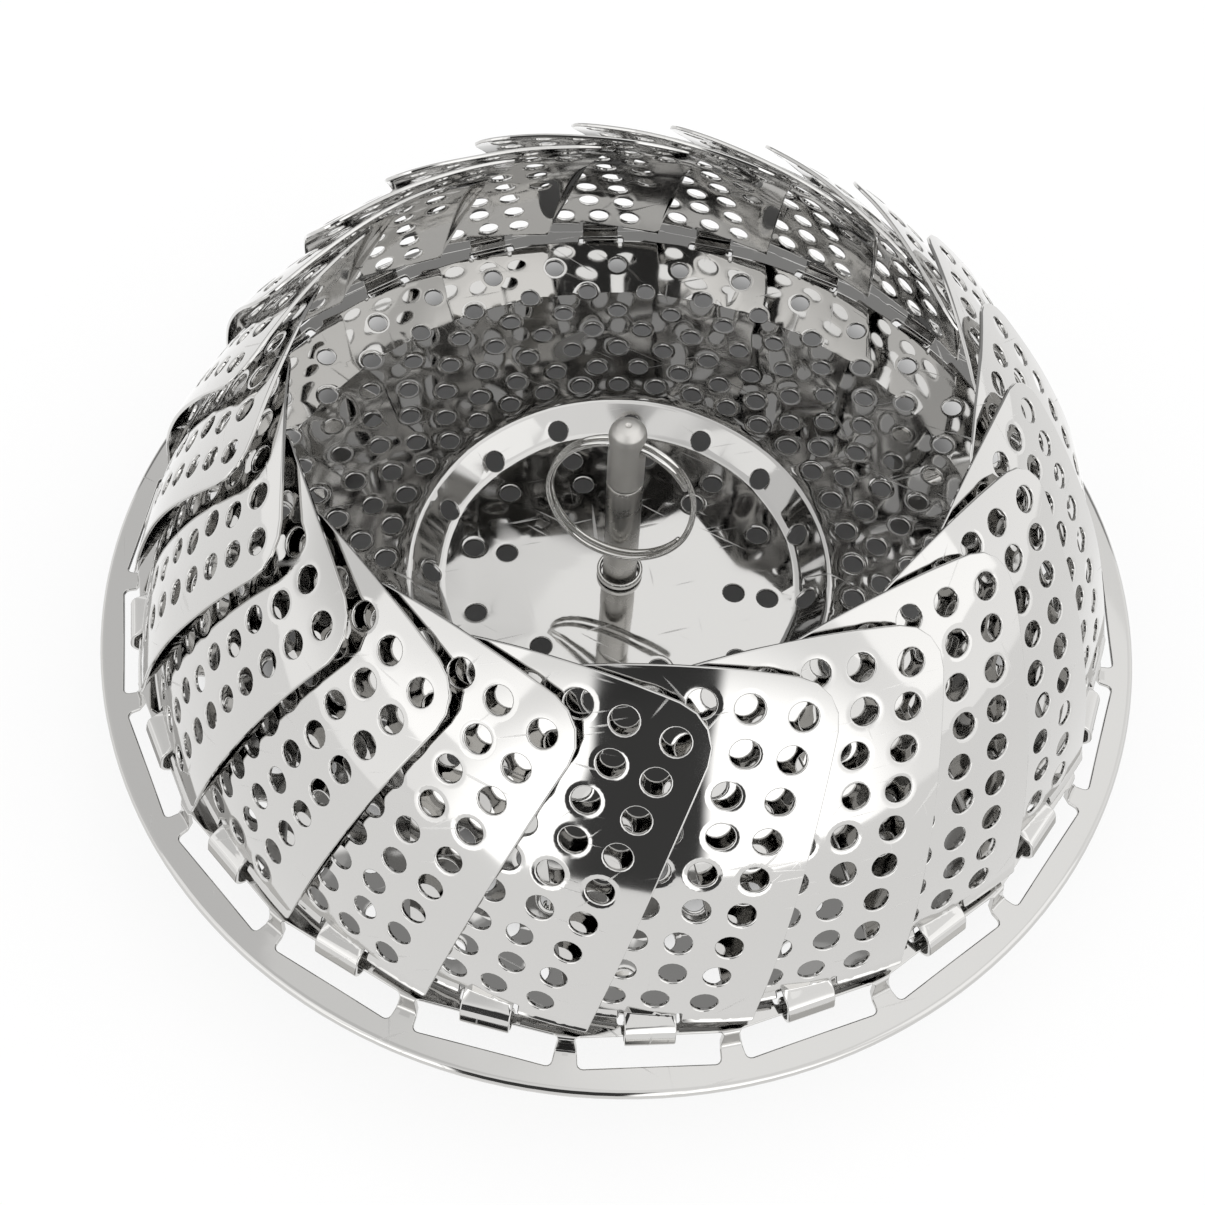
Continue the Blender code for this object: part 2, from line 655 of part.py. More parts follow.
def bracket_mesh():
    """Returns the bracket as a block, with its origin on the pin's axis."""
    bm = bmesh.new()
    top = BRACKET_TOP - PIVOT_HEIGHT
    back = BARREL_OUTER + SWING_GAP + BRACKET_SHEET
    size = (BRACKET_REACH + back, BRACKET_LENGTH, top + BRACKET_SKIRT)
    place = Matrix.Translation(((back - BRACKET_REACH) / 2, 0, (top - BRACKET_SKIRT) / 2))
    bmesh.ops.create_cube(bm, size=1.0, matrix=place @ Matrix.Diagonal((*size, 1.0)))
    return mesh_from(bm, "bracket")


def bracket_hollow(collection):
    """Makes the cutter that leaves the bracket's roof, two ears and stop wall, and drills its ears."""
    bm = bmesh.new()
    roof = BRACKET_TOP - PIVOT_HEIGHT - BRACKET_SHEET
    back = BARREL_OUTER + SWING_GAP
    low = BRACKET_SKIRT + OVERRUN
    front = BRACKET_REACH + OVERRUN
    size = (front + back, BRACKET_INSIDE, roof + low)
    place = Matrix.Translation(((back - front) / 2, 0, (roof - low) / 2))
    bmesh.ops.create_cube(bm, size=1.0, matrix=place @ Matrix.Diagonal((*size, 1.0)))
    hollow = make_cutter("bracket_hollow", bm, collection)
    drill = bmesh.new()
    bore = PIN_RADIUS + SEAT_GAP
    bmesh.ops.create_cone(
        drill, cap_ends=True, segments=PIN_STEPS, radius1=bore, radius2=bore,
        depth=BRACKET_LENGTH + 2 * OVERRUN, matrix=Matrix.Rotation(math.radians(90.0), 4, "X"),
    )
    return hollow, make_cutter("bracket_drill", drill, collection)


def build_legs(parts, cutters, steel):
    """Builds the three legs, each with its bracket and pin on an empty at the pin's axis."""
    leg_pattern = add_object("leg_pattern", leg_mesh(), parts, steel)
    shell = leg_pattern.modifiers.new("sheet", "SOLIDIFY")
    shell.thickness = LEG_SHEET
    shell.offset = 0.0
    shell.use_even_offset = True
    leg = baked_mesh(leg_pattern)
    shade_round(leg)
    bracket_pattern = add_object("bracket_pattern", bracket_mesh(), parts, steel)
    for cutter in bracket_hollow(cutters):
        cut(bracket_pattern, cutter)
    bracket = baked_mesh(bracket_pattern)
    head_inner = BRACKET_LENGTH / 2 + SEAT_GAP
    head_outer = head_inner + PIN_HEAD_HEIGHT
    pin_profile = (
        (0, head_outer),
        (PIN_HEAD_RADIUS, head_outer),
        (PIN_HEAD_RADIUS, head_inner),
        (PIN_RADIUS, head_inner),
        (PIN_RADIUS, -head_inner),
        (PIN_HEAD_RADIUS, -head_inner),
        (PIN_HEAD_RADIUS, -head_outer),
        (0, -head_outer),
    )
    pin = baked_mesh(turned("pin_pattern", pin_profile, PIN_STEPS, parts, steel))
    shade_round(pin)
    for index in range(LEG_COUNT):
        angle = math.radians(FIRST_LEG_DEG + index * 360 / LEG_COUNT)
        station = bpy.data.objects.new(f"leg_station_{index + 1}", None)
        parts.objects.link(station)
        station.location = (LEG_RADIUS * math.cos(angle), LEG_RADIUS * math.sin(angle), PIVOT_HEIGHT)
        station.rotation_euler = (0, 0, angle)
        add_object(f"leg_{index + 1}", leg, parts).parent = station
        add_object(f"leg_bracket_{index + 1}", bracket, parts).parent = station
        leg_pin = add_object(f"leg_pin_{index + 1}", pin, parts)
        leg_pin.parent = station
        leg_pin.rotation_euler = (math.radians(90.0), 0, 0)


def main():
    """Builds the steamer insert."""
    clear_scene()
    parts = new_collection("steamer_insert")
    cutters = new_collection("cutters")
    pressed = new_material("stainless_pressed", (0.80, 0.80, 0.79), 0.14, 1.0)
    leaf_steel = new_material("stainless_leaf", (0.80, 0.80, 0.79), 0.16, 1.0)
    rod_steel = new_material("stainless_rod", (0.60, 0.60, 0.59), 0.34, 1.0)
    cap_metal = new_material("cast_aluminium_cap", (0.70, 0.70, 0.69), 0.50, 1.0)
    wire_steel = new_material("stainless_wire", (0.72, 0.72, 0.71), 0.16, 1.0)
    leg_steel = new_material("stainless_leg", (0.70, 0.70, 0.69), 0.28, 1.0)
    build_pan(parts, cutters, pressed)
    build_leaves(parts, cutters, leaf_steel)
    build_post_rod(parts, rod_steel)
    build_post_cap(parts, cutters, cap_metal)
    build_post_fixings(parts, cutters, rod_steel)
    build_split_ring(parts, wire_steel)
    build_legs(parts, cutters, leg_steel)


main()
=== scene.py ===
"""Looks of a folding steamer insert: polished, punched sheet metal, a centre post, a split ring and legs.

Sizes are in millimetres, and meshes are scaled to metres when they are made. The origin is on the table under
the post, +Z is up and the front is at -Y.
"""

import json
import logging
import math
from collections.abc import Callable, Sequence
from dataclasses import dataclass, field
from enum import Enum
from typing import Any, ClassVar

import bmesh
import bpy
import numpy as np
from mathutils import Matrix, Vector
from mathutils.geometry import delaunay_2d_cdt


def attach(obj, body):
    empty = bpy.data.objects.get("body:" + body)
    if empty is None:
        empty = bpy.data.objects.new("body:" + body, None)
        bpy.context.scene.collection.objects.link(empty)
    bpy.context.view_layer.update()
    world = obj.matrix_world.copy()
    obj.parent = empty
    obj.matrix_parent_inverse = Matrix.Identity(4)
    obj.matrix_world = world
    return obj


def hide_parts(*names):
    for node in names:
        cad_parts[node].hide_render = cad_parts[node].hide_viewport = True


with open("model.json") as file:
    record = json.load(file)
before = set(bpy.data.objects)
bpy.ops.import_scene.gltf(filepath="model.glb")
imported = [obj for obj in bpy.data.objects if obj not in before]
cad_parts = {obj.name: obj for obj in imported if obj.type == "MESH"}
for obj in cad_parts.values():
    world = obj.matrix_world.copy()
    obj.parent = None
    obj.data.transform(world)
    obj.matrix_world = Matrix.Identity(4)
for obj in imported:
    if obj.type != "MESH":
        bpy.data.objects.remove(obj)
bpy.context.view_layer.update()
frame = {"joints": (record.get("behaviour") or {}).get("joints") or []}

MM = 0.001
UP = Vector((0.0, 0.0, 1.0))
# Points closer than this are one point, in metres for meshes and in millimetres for patterns.
WELD = 1e-7
# Edges that turn by more than this are sharp.
SHARP_DEG = 40.0
log = logging.getLogger("steamer_insert")

# Gives the points in space of pattern points.
Place = Callable[[np.ndarray], np.ndarray]
# Radius, height and fillet of a profile's corner.
Corner = tuple[float, float, float]


def linear(colour: str) -> tuple[float, float, float, float]:
    """Turns an sRGB hex colour into linear RGBA.

    Args:
        colour: six hex digits after a hash.

    Returns:
        Red, green, blue and an alpha of 1.
    """
    shares = [int(colour[at:at + 2], 16) / 255 for at in (1, 3, 5)]
    red, green, blue = [s / 12.92 if s <= 0.04045 else ((s + 0.055) / 1.055) ** 2.4 for s in shares]
    return red, green, blue, 1.0


def add_node(tree: bpy.types.NodeTree, kind: str, inputs: dict[str | int, Any] | None = None,
             **settings: Any) -> bpy.types.Node:
    """Adds a node, sets its properties, and fills or links its inputs.

    Args:
        tree: the node tree it goes in.
        kind: the node's type.
        inputs: values or output sockets, by input name or number.
        settings: properties of the node.

    Returns:
        The new node.
    """
    item = tree.nodes.new(kind)
    for name, value in settings.items():
        setattr(item, name, value)
    for name, value in (inputs or {}).items():
        if isinstance(value, bpy.types.NodeSocket):
            tree.links.new(value, item.inputs[name])
        else:
            item.inputs[name].default_value = value
    return item


class Grain(Enum):
    """The surface process of a metal, which sets its relief."""

    POLISHED = "buffed sheet"
    TURNED = "marks round the axis"
    BLASTED = "fine even grain"
    ROLLED = "straight lines along the strip"


@dataclass(frozen=True)
class MetalFinish:
    """A bare metal with one surface process.

    Attributes:
        name: the material's name.
        colour: reflected colour, as sRGB hex.
        roughness: middle roughness.
        spread: how far smudges move the roughness up and down.
        smudge_mm: width of a smudge.
        grain: the surface process.
        grain_mm: width of one mark of that process.
        relief_um: depth of the marks, in micrometres.
        haze: how much rougher the marks are than the rest.
        line_lengths: length of a line of each drawn grain, in its widths.
        scratch_length: length of a buffing scratch, in its widths.
        scratch_turns: turns of the layers of scratches, in radians.
        scratch_share: part of the noise's range where a scratch starts and where it is deepest.
    """

    name: str
    colour: str
    roughness: float
    spread: float
    smudge_mm: float
    grain: Grain
    grain_mm: float
    relief_um: float
    haze: float = 0.0
    line_lengths: ClassVar[dict[Grain, float]] = {Grain.TURNED: 60.0, Grain.ROLLED: 80.0}
    scratch_length: ClassVar[float] = 25.0
    scratch_turns: ClassVar[tuple[tuple[float, float, float], ...]] = (
        (0.4, 0.9, 0.2), (1.3, 0.3, 1.1), (2.2, 1.6, 0.7), (0.1, 2.4, 1.9),
    )
    scratch_share: ClassVar[tuple[float, float]] = (0.73, 0.79)

    def material(self) -> bpy.types.Material:
        """Builds the material.

        Returns:
            A Principled metal with smudged roughness and the relief of its grain.
        """
        material = bpy.data.materials.new(self.name)
        material.use_nodes = True
        tree = material.node_tree
        shader = tree.nodes["Principled BSDF"]
        shader.inputs["Base Color"].default_value = linear(self.colour)
        shader.inputs["Metallic"].default_value = 1.0
        place = add_node(tree, "ShaderNodeTexCoord").outputs["Object"]
        marks = self.marks(tree, place)
        smudges = add_node(tree, "ShaderNodeTexNoise", {
            "Vector": place, "Scale": 1 / (self.smudge_mm * MM), "Detail": 4.0, "Roughness": 0.6,
        })
        rough = add_node(tree, "ShaderNodeMapRange", {
            "Value": smudges.outputs["Fac"], "From Min": 0.3, "From Max": 0.7,
            "To Min": self.roughness - self.spread, "To Max": self.roughness + self.spread,
        })
        hazed = add_node(tree, "ShaderNodeMath", {
            0: marks, 1: self.haze, 2: rough.outputs["Result"],
        }, operation="MULTIPLY_ADD")
        bump = add_node(tree, "ShaderNodeBump", {
            "Height": marks, "Distance": self.relief_um * MM * MM, "Strength": 1.0,
        })
        tree.links.new(hazed.outputs[0], shader.inputs["Roughness"])
        tree.links.new(bump.outputs["Normal"], shader.inputs["Normal"])
        return material

    def marks(self, tree: bpy.types.NodeTree, place: bpy.types.NodeSocket) -> bpy.types.NodeSocket:
        """Adds the nodes for the grain's marks.

        Args:
            tree: the material's node tree.
            place: the surface point, in metres.

        Returns:
            The height of the marks, from 0 to 1.
        """
        if self.grain is Grain.POLISHED:
            return self.scratches(tree, place)
        fine = 1 / (self.grain_mm * MM)
        if self.grain is Grain.BLASTED:
            return add_node(tree, "ShaderNodeTexNoise", {
                "Vector": place, "Scale": fine, "Detail": 3.0, "Roughness": 0.65,
            }).outputs["Fac"]
        long = fine / self.line_lengths[self.grain]
        stretch = (long, long, fine) if self.grain is Grain.TURNED else (fine, fine, long)
        lines = add_node(tree, "ShaderNodeMapping", {"Vector": place, "Scale": stretch})
        return add_node(tree, "ShaderNodeTexNoise", {
            "Vector": lines.outputs["Vector"], "Scale": 1.0, "Detail": 2.0,
        }).outputs["Fac"]

    def scratches(self, tree: bpy.types.NodeTree, place: bpy.types.NodeSocket) -> bpy.types.NodeSocket:
        """Adds the nodes for the hairlines that buffing and handling leave, in several directions.

        Args:
            tree: the material's node tree.
            place: the surface point, in metres.

        Returns:
            Their height, from 0 to 1.
        """
        fine = 1 / (self.grain_mm * MM)
        # A layer is a stack of thin sheets, which cut the surface in lines.
        sheet = (1 / fine, self.scratch_length / fine, self.scratch_length / fine)
        layers = []
        for turn in self.scratch_turns:
            lines = add_node(tree, "ShaderNodeMapping", {
                "Vector": place, "Rotation": turn, "Scale": sheet,
            }, vector_type="TEXTURE")
            noise = add_node(tree, "ShaderNodeTexNoise", {
                "Vector": lines.outputs["Vector"], "Scale": 1.0, "Detail": 1.0,
            })
            layers.append(add_node(tree, "ShaderNodeMapRange", {
                "Value": noise.outputs["Fac"],
                "From Min": self.scratch_share[0], "From Max": self.scratch_share[1],
            }).outputs["Result"])
        total = layers[0]
        for layer in layers[1:]:
            total = add_node(tree, "ShaderNodeMath", {0: total, 1: layer}, operation="MAXIMUM").outputs[0]
        return total


# Austenitic stainless sheet, buffed to a mirror after pressing: near-neutral, sharp reflections that smudges
# and fine random scratches soften a little. Buffing scratches are about 0.03 mm wide, which is too fine to
# show, so they are cut from a coarser noise.
MIRROR_SHEET = MetalFinish("stainless_sheet_mirror_polished", "#BDBCBA", roughness=0.06, spread=0.03,
                           smudge_mm=18.0, grain=Grain.POLISHED, grain_mm=0.6, relief_um=2.0, haze=0.30)
# The same sheet in the leaves, with a few more handling scratches, drawn as coarse.
MIRROR_LEAF = MetalFinish("stainless_leaf_mirror_polished", "#C3C2C0", roughness=0.06, spread=0.03,
                          smudge_mm=14.0, grain=Grain.POLISHED, grain_mm=0.5, relief_um=2.5, haze=0.35)
# Drawn stainless rod, turned at a feed of 0.1 mm: a darker satin that spreads highlights along the axis.
TURNED_ROD = MetalFinish("stainless_rod_turned", "#B9B7B3", roughness=0.30, spread=0.06, smudge_mm=3.0,
                         grain=Grain.TURNED, grain_mm=0.10, relief_um=3.0)
# Cast aluminium, blasted with grit of about 0.2 mm: pale, matte and finely grained.
BLASTED_CAP = MetalFinish("aluminium_cast_blasted", "#CFCDC9", roughness=0.46, spread=0.05, smudge_mm=2.0,
                          grain=Grain.BLASTED, grain_mm=0.22, relief_um=16.0)
# Spring wire, bright drawn: smooth with thin reflections, its hairlines drawn coarser than the real ones.
DRAWN_WIRE = MetalFinish("stainless_wire_bright_drawn", "#CCCBC8", roughness=0.06, spread=0.02,
                         smudge_mm=4.0, grain=Grain.POLISHED, grain_mm=0.30, relief_um=1.0, haze=0.1)
# Cold-rolled stainless strip with its mill surface: soft reflections drawn out along the strip. The roll's
# lines are under 0.05 mm wide, and are drawn coarser so that they show.
MILL_STRIP = MetalFinish("stainless_strip_mill_rolled", "#C8C6C2", roughness=0.24, spread=0.05,
                         smudge_mm=6.0, grain=Grain.ROLLED, grain_mm=0.12, relief_um=1.5)


def filleted(corners: Sequence[Corner], step_deg: float) -> np.ndarray:
    """Rounds the corners of an open line.

    Args:
        corners: x, y and fillet radius of each corner; the ends' radii aren't used.
        step_deg: turn between two points of a fillet.

    Returns:
        The points, as an (n, 2) array.
    """
    straight = math.radians(89.9)
    points = [np.array(corners[0][:2], float)]
    for before, (x, y, radius), after in zip(corners, corners[1:], corners[2:]):
        corner = np.array((x, y), float)
        one = np.array(before[:2]) - corner
        two = np.array(after[:2]) - corner
        one /= np.linalg.norm(one)
        two /= np.linalg.norm(two)
        half = math.acos(max(-1.0, min(1.0, float(one @ two)))) / 2
        if radius <= 0 or half > straight:
            points.append(corner)
            continue
        middle = one + two
        centre = corner + middle / np.linalg.norm(middle) * radius / math.sin(half)
        first = corner + one * radius / math.tan(half) - centre
        side = 1.0 if one[0] * two[1] - one[1] * two[0] < 0 else -1.0
        sweep = math.pi - 2 * half
        count = max(2, round(math.degrees(sweep) / step_deg) + 1)
        for step in range(count):
            turn = side * sweep * step / (count - 1)
            cos, sin = math.cos(turn), math.sin(turn)
            points.append(centre + (first[0] * cos - first[1] * sin, first[0] * sin + first[1] * cos))
    points.append(np.array(corners[-1][:2], float))
    return np.array(points)


def divided(points: np.ndarray, longest: float) -> np.ndarray:
    """Splits the long stretches of a line.

    Args:
        points: (n, 2) points.
        longest: the longest stretch left, in millimetres.

    Returns:
        The points with those added.
    """
    result = [points[0]]
    for one, two in zip(points, points[1:]):
        count = max(1, math.ceil(float(np.linalg.norm(two - one)) / longest - 1e-6))
        result += [one + (two - one) * step / count for step in range(1, count + 1)]
    return np.array(result)


def directions(turns: np.ndarray) -> np.ndarray:
    """Returns the unit vectors at n angles in radians, as an (n, 2) array."""
    return np.stack([np.cos(turns), np.sin(turns)], axis=1)


def inside(points: np.ndarray, polygon: np.ndarray) -> np.ndarray:
    """Tells which points lie in a polygon.

    Args:
        points: (n, 2) points.
        polygon: (m, 2) corners.

    Returns:
        n booleans.
    """
    x, y = points[:, :1], points[:, 1:]
    x1, y1 = polygon[:, 0], polygon[:, 1]
    x2, y2 = np.roll(x1, -1), np.roll(y1, -1)
    rise = np.where(y2 == y1, 1e-12, y2 - y1)
    crossed = ((y1 > y) != (y2 > y)) & (x < (x2 - x1) * (y - y1) / rise + x1)
    return crossed.sum(axis=1) % 2 == 1


@dataclass(frozen=True)
class Edge:
    """One closed edge of a sheet's flat pattern, with the sheet on its right.

    Attributes:
        core: (n, 2) points that the edge is drawn round.
        away: (n, 2) directions from the edge into the sheet.
        radius: distance of the edge from its core.
        dent_width: how far from the edge the sheet is pressed in; 0 where it isn't.
        dent: how deep it is pressed in at the edge.
        is_hole: False for the outline.
    """

    core: np.ndarray
    away: np.ndarray
    radius: float
    dent_width: float = 0.0
    dent: float = 0.0
    is_hole: bool = True

    def ring(self, distance: float) -> np.ndarray:
        """Returns the line at a distance from the edge, in the sheet."""
        return self.core + (self.radius + distance) * self.away


def rounded_hole(half_a: float, half_b: float, corner: float, per_corner: int,
                 longest: float) -> tuple[np.ndarray, np.ndarray]:
    """Draws a rectangle with round corners, which is a circle where the halves equal the corner.

    Args:
        half_a: half its size along the first axis.
        half_b: half its size along the second axis.
        corner: radius of its corners.
        per_corner: steps round each corner.
        longest: longest stretch of a straight side.

    Returns:
        The core points and the outward directions, anticlockwise.
    """
    core, away = [], []
    side_a, side_b = half_a - corner, half_b - corner
    round_hole = side_a < 1e-9 and side_b < 1e-9
    for quarter, (a, b) in enumerate(((1, 1), (-1, 1), (-1, -1), (1, -1))):
        for step in range(per_corner + (0 if round_hole else 1)):
            turn = math.pi / 2 * (quarter + step / per_corner)
            core.append((a * side_a, b * side_b))
            away.append((math.cos(turn), math.sin(turn)))
        if round_hole:
            continue
        next_a, next_b = ((-1, 1), (-1, -1), (1, -1), (1, 1))[quarter]
        length = 2 * (side_a if a != next_a else side_b)
        count = max(1, math.ceil(length / longest))
        for step in range(1, count):
            share = step / count
            core.append((side_a * (a + (next_a - a) * share), side_b * (b + (next_b - b) * share)))
            away.append(away[-1])
    return np.array(core), np.array(away)


@dataclass
class PunchedSheet:
    """A sheet with holes: flat pattern, triangles, and edges rounded by the punch and the buffing wheel.

    Attributes:
        edges: the outline and the holes.
        points: (n, 2) more points of the pattern.
        front: how far the front lies from the reference surface, along its normal.
        back: the same for the back.
        front_round: radius of the front's edges.
        back_round: radius of the back's edges.
        flat: (n, 2) pattern points, those of the edges' outermost rings first.
        triangles: point numbers of the pattern's triangles.
        starts: number of the first point of each edge's ring.
        lip_turns_deg: turns of the surface at the rings of a rounded edge.
        slope_step: distance over which the reference surface's slope is measured.
    """

    edges: list[Edge]
    points: np.ndarray
    front: float
    back: float
    front_round: float
    back_round: float
    flat: np.ndarray = field(init=False)
    triangles: np.ndarray = field(init=False)
    starts: list[int] = field(init=False)
    lip_turns_deg: ClassVar[tuple[float, ...]] = (45.0, 90.0)
    slope_step: ClassVar[float] = 0.04

    def __post_init__(self) -> None:
        """Triangulates the pattern between the outermost rings of the edges."""
        rings, owner, sides = [], [], []
        self.starts = []
        total = 0
        keep = np.ones(len(self.points), bool)
        for number, edge in enumerate(self.edges):
            ring = edge.ring(self.reach(edge))
            clear = edge.ring(self.reach(edge) + self.front_round)
            within = inside(self.points, clear)
            keep &= ~within if edge.is_hole else within
            self.starts.append(total)
            rings.append(ring)
            owner += [number] * len(ring)
            sides += [(total + at, total + (at + 1) % len(ring)) for at in range(len(ring))]
            total += len(ring)
        loose = self.points[keep]
        flat = np.vstack(rings + [loose])
        owner = np.array(owner + [-1] * len(loose))
        verts, _, faces, origins, _, _ = delaunay_2d_cdt([Vector(p) for p in flat], sides, [], 0, WELD)
        if len(verts) != len(flat):
            log.warning("the pattern's edges cross: %d points became %d", len(flat), len(verts))
        first = np.array([from_points[0] for from_points in origins])
        triangles = first[np.array(faces)]
        on = owner[triangles]
        holes = np.array([edge.is_hole for edge in self.edges] + [False])
        same = (on[:, 0] == on[:, 1]) & (on[:, 1] == on[:, 2]) & holes[on[:, 0]]
        middle = flat[triangles].mean(axis=1)
        for edge in self.edges:
            if not edge.is_hole:
                same |= ~inside(middle, edge.ring(self.reach(edge)))
        triangles = triangles[~same]
        one, two, three = (flat[triangles[:, at]] for at in range(3))
        turn = np.cross(two - one, three - one)
        triangles[turn < 0] = triangles[turn < 0][:, ::-1]
        self.flat = flat
        self.triangles = triangles

    def reach(self, edge: Edge) -> float:
        """Returns how far from an edge the shaped lip starts."""
        return max(edge.dent_width, self.front_round, self.back_round)

    def lip(self, edge: Edge, radius: float) -> list[tuple[float, float]]:
        """Lists the rings of a lip, from the sheet to the wall of the hole.

        Args:
            edge: the edge.
            radius: the lip's radius on this side.

        Returns:
            The distance from the edge and the turn of the surface, in radians, for each ring.
        """
        steps = [(self.reach(edge), 0.0)]
        if edge.dent_width > 0:
            steps.append((edge.dent_width / 2, 0.0))
        if self.reach(edge) > radius + 1e-6:
            steps.append((radius, 0.0))
        for turn in map(math.radians, self.lip_turns_deg):
            steps.append((radius * (1 - math.sin(turn)), turn))
        return steps

    def mesh(self, place: Place) -> tuple[np.ndarray, list[tuple[int, ...]], np.ndarray]:
        """Forms the sheet in space.

        Args:
            place: gives the reference surface's points for pattern points.

        Returns:
            Points, faces and point normals.
        """
        points, normals, faces = [], [], []
        total = 0
        walls = {}
        for front in (True, False):
            side = 1.0 if front else -1.0
            level = self.front if front else self.back
            radius = self.front_round if front else self.back_round
            spot, _, _, normal = self.surface(place, self.flat)
            base = total
            points.append(spot + level * normal)
            normals.append(side * normal)
            total += len(self.flat)
            order = self.triangles if front else self.triangles[:, ::-1]
            faces += [tuple(row) for row in (order + base).tolist()]
            for number, edge in enumerate(self.edges):
                last = base + self.starts[number]
                for distance, turn in self.lip(edge, radius)[1:]:
                    ring, ring_normals = self.lip_ring(place, edge, distance, turn, side, level, radius)
                    points.append(ring)
                    normals.append(ring_normals)
                    faces += self.strip(last, total, len(ring), front)
                    last = total
                    total += len(ring)
                walls[front, number] = last
        for number, edge in enumerate(self.edges):
            faces += self.strip(walls[False, number], walls[True, number], len(edge.core), False)
        return np.vstack(points), faces, np.vstack(normals)

    def lip_ring(self, place: Place, edge: Edge, distance: float, turn: float, side: float, level: float,
                 radius: float) -> tuple[np.ndarray, np.ndarray]:
        """Forms one ring of an edge's lip.

        Args:
            place: gives the reference surface's points for pattern points.
            edge: the edge.
            distance: the ring's distance from the edge.
            turn: the turn of the surface there, in radians.
            side: 1 for the front and -1 for the back.
            level: this side's distance from the reference surface.
            radius: the lip's radius on this side.

        Returns:
            The ring's points and normals.
        """
        spot, along_u, along_v, normal = self.surface(place, edge.ring(distance))
        out = -(edge.away[:, :1] * along_u + edge.away[:, 1:] * along_v)
        out -= (out * normal).sum(axis=1, keepdims=True) * normal
        out /= np.linalg.norm(out, axis=1, keepdims=True)
        depth, slope = 0.0, 0.0
        if edge.dent_width > 0 and distance < edge.dent_width:
            share = 1 - distance / edge.dent_width
            depth = edge.dent * share ** 2
            slope = 2 * edge.dent * share / edge.dent_width
        height = level - side * radius * (1 - math.cos(turn)) - depth
        tilted = normal + slope * out
        tilted /= np.linalg.norm(tilted, axis=1, keepdims=True)
        return spot + height * normal, math.cos(turn) * side * tilted + math.sin(turn) * out

    @staticmethod
    def strip(one: int, two: int, count: int, front: bool) -> list[tuple[int, ...]]:
        """Joins two rings of the same count with quads.

        Args:
            one: number of the first ring's first point.
            two: number of the second ring's first point.
            count: points in each ring.
            front: True for quads that turn as the front's do.

        Returns:
            The quads.
        """
        quads = []
        for at in range(count):
            after = (at + 1) % count
            quad = (one + at, one + after, two + after, two + at)
            quads.append(quad if front else quad[::-1])
        return quads

    def surface(self, place: Place, flat: np.ndarray) -> tuple[np.ndarray, ...]:
        """Measures the reference surface at pattern points.

        Args:
            place: gives the surface's points.
            flat: (n, 2) pattern points.

        Returns:
            Points, their changes along the two pattern axes, and unit normals.
        """
        step = self.slope_step
        along_u = (place(flat + (step, 0)) - place(flat - (step, 0))) / (2 * step)
        along_v = (place(flat + (0, step)) - place(flat - (0, step))) / (2 * step)
        normal = np.cross(along_u, along_v)
        normal /= np.linalg.norm(normal, axis=1, keepdims=True)
        return place(flat), along_u, along_v, normal


def add_piece(name: str, mesh: bpy.types.Mesh, material: bpy.types.Material) -> bpy.types.Object:
    """Puts a mesh in the scene with a material.

    Args:
        name: the object's name.
        mesh: its mesh, in metres.
        material: its finish.

    Returns:
        The object.
    """
    mesh.materials.clear()
    mesh.materials.append(material)
    piece = bpy.data.objects.new(name, mesh)
    bpy.context.scene.collection.objects.link(piece)
    return piece


def mesh_of(name: str, points: np.ndarray, faces: Sequence[Sequence[int]],
            normals: np.ndarray | None = None) -> bpy.types.Mesh:
    """Makes a smooth mesh from millimetres.

    Args:
        name: the mesh's name.
        points: (n, 3) points in millimetres.
        faces: corner numbers of each face.
        normals: (n, 3) point normals, or None for Blender's own.

    Returns:
        The mesh, in metres.
    """
    mesh = bpy.data.meshes.new(name)
    mesh.from_pydata((points * MM).tolist(), [], faces)
    mesh.shade_smooth()
    if normals is not None:
        mesh.normals_split_custom_set_from_vertices(normals.tolist())
    return mesh


def mesh_from(bm: bmesh.types.BMesh, name: str) -> bpy.types.Mesh:
    """Turns an edit mesh into a mesh, and frees it.

    Args:
        bm: the edit mesh, in metres.
        name: the mesh's name.

    Returns:
        The mesh.
    """
    mesh = bpy.data.meshes.new(name)
    bm.to_mesh(mesh)
    bm.free()
    return mesh


def lathe(name: str, profile: Sequence[Corner], material: bpy.types.Material,
          steps: int = 72) -> bpy.types.Object:
    """Turns a profile about Z.

    Args:
        name: the object's name.
        profile: radius, height and fillet of each corner, from the top down its outer side; it is open only
            on the axis.
        material: its finish.
        steps: faces round the axis.

    Returns:
        The object.
    """
    line = filleted(profile, step_deg=18.0)
    bm = bmesh.new()
    verts = [bm.verts.new((x * MM, 0, z * MM)) for x, z in line]
    edges = [bm.edges.new(pair) for pair in zip(verts, verts[1:])]
    bmesh.ops.spin(bm, geom=verts + edges, cent=(0, 0, 0), axis=(0, 0, 1), angle=math.tau, steps=steps,
                   use_merge=True)
    bmesh.ops.remove_doubles(bm, verts=bm.verts, dist=WELD)
    bmesh.ops.recalc_face_normals(bm, faces=bm.faces)
    mesh = mesh_from(bm, name)
    mesh.shade_smooth()
    mesh.set_sharp_from_angle(angle=math.radians(SHARP_DEG))
    return add_piece(name, mesh, material)


def closed(profile: Sequence[Corner]) -> list[Corner]:
    """Closes a ring's profile by starting and ending it in the middle of its first side.

    Args:
        profile: radius, height and fillet of each corner.

    Returns:
        The profile with that middle point at both ends.
    """
    one, two = profile[-1], profile[0]
    middle = ((one[0] + two[0]) / 2, (one[1] + two[1]) / 2, 0.0)
    return [middle, *profile, middle]


def with_modifiers(piece: bpy.types.Object) -> None:
    """Applies a piece's modifiers and drops them.

    Args:
        piece: the object.
    """
    depsgraph = bpy.context.evaluated_depsgraph_get()
    mesh = bpy.data.meshes.new_from_object(piece.evaluated_get(depsgraph))
    piece.modifiers.clear()
    piece.data = mesh


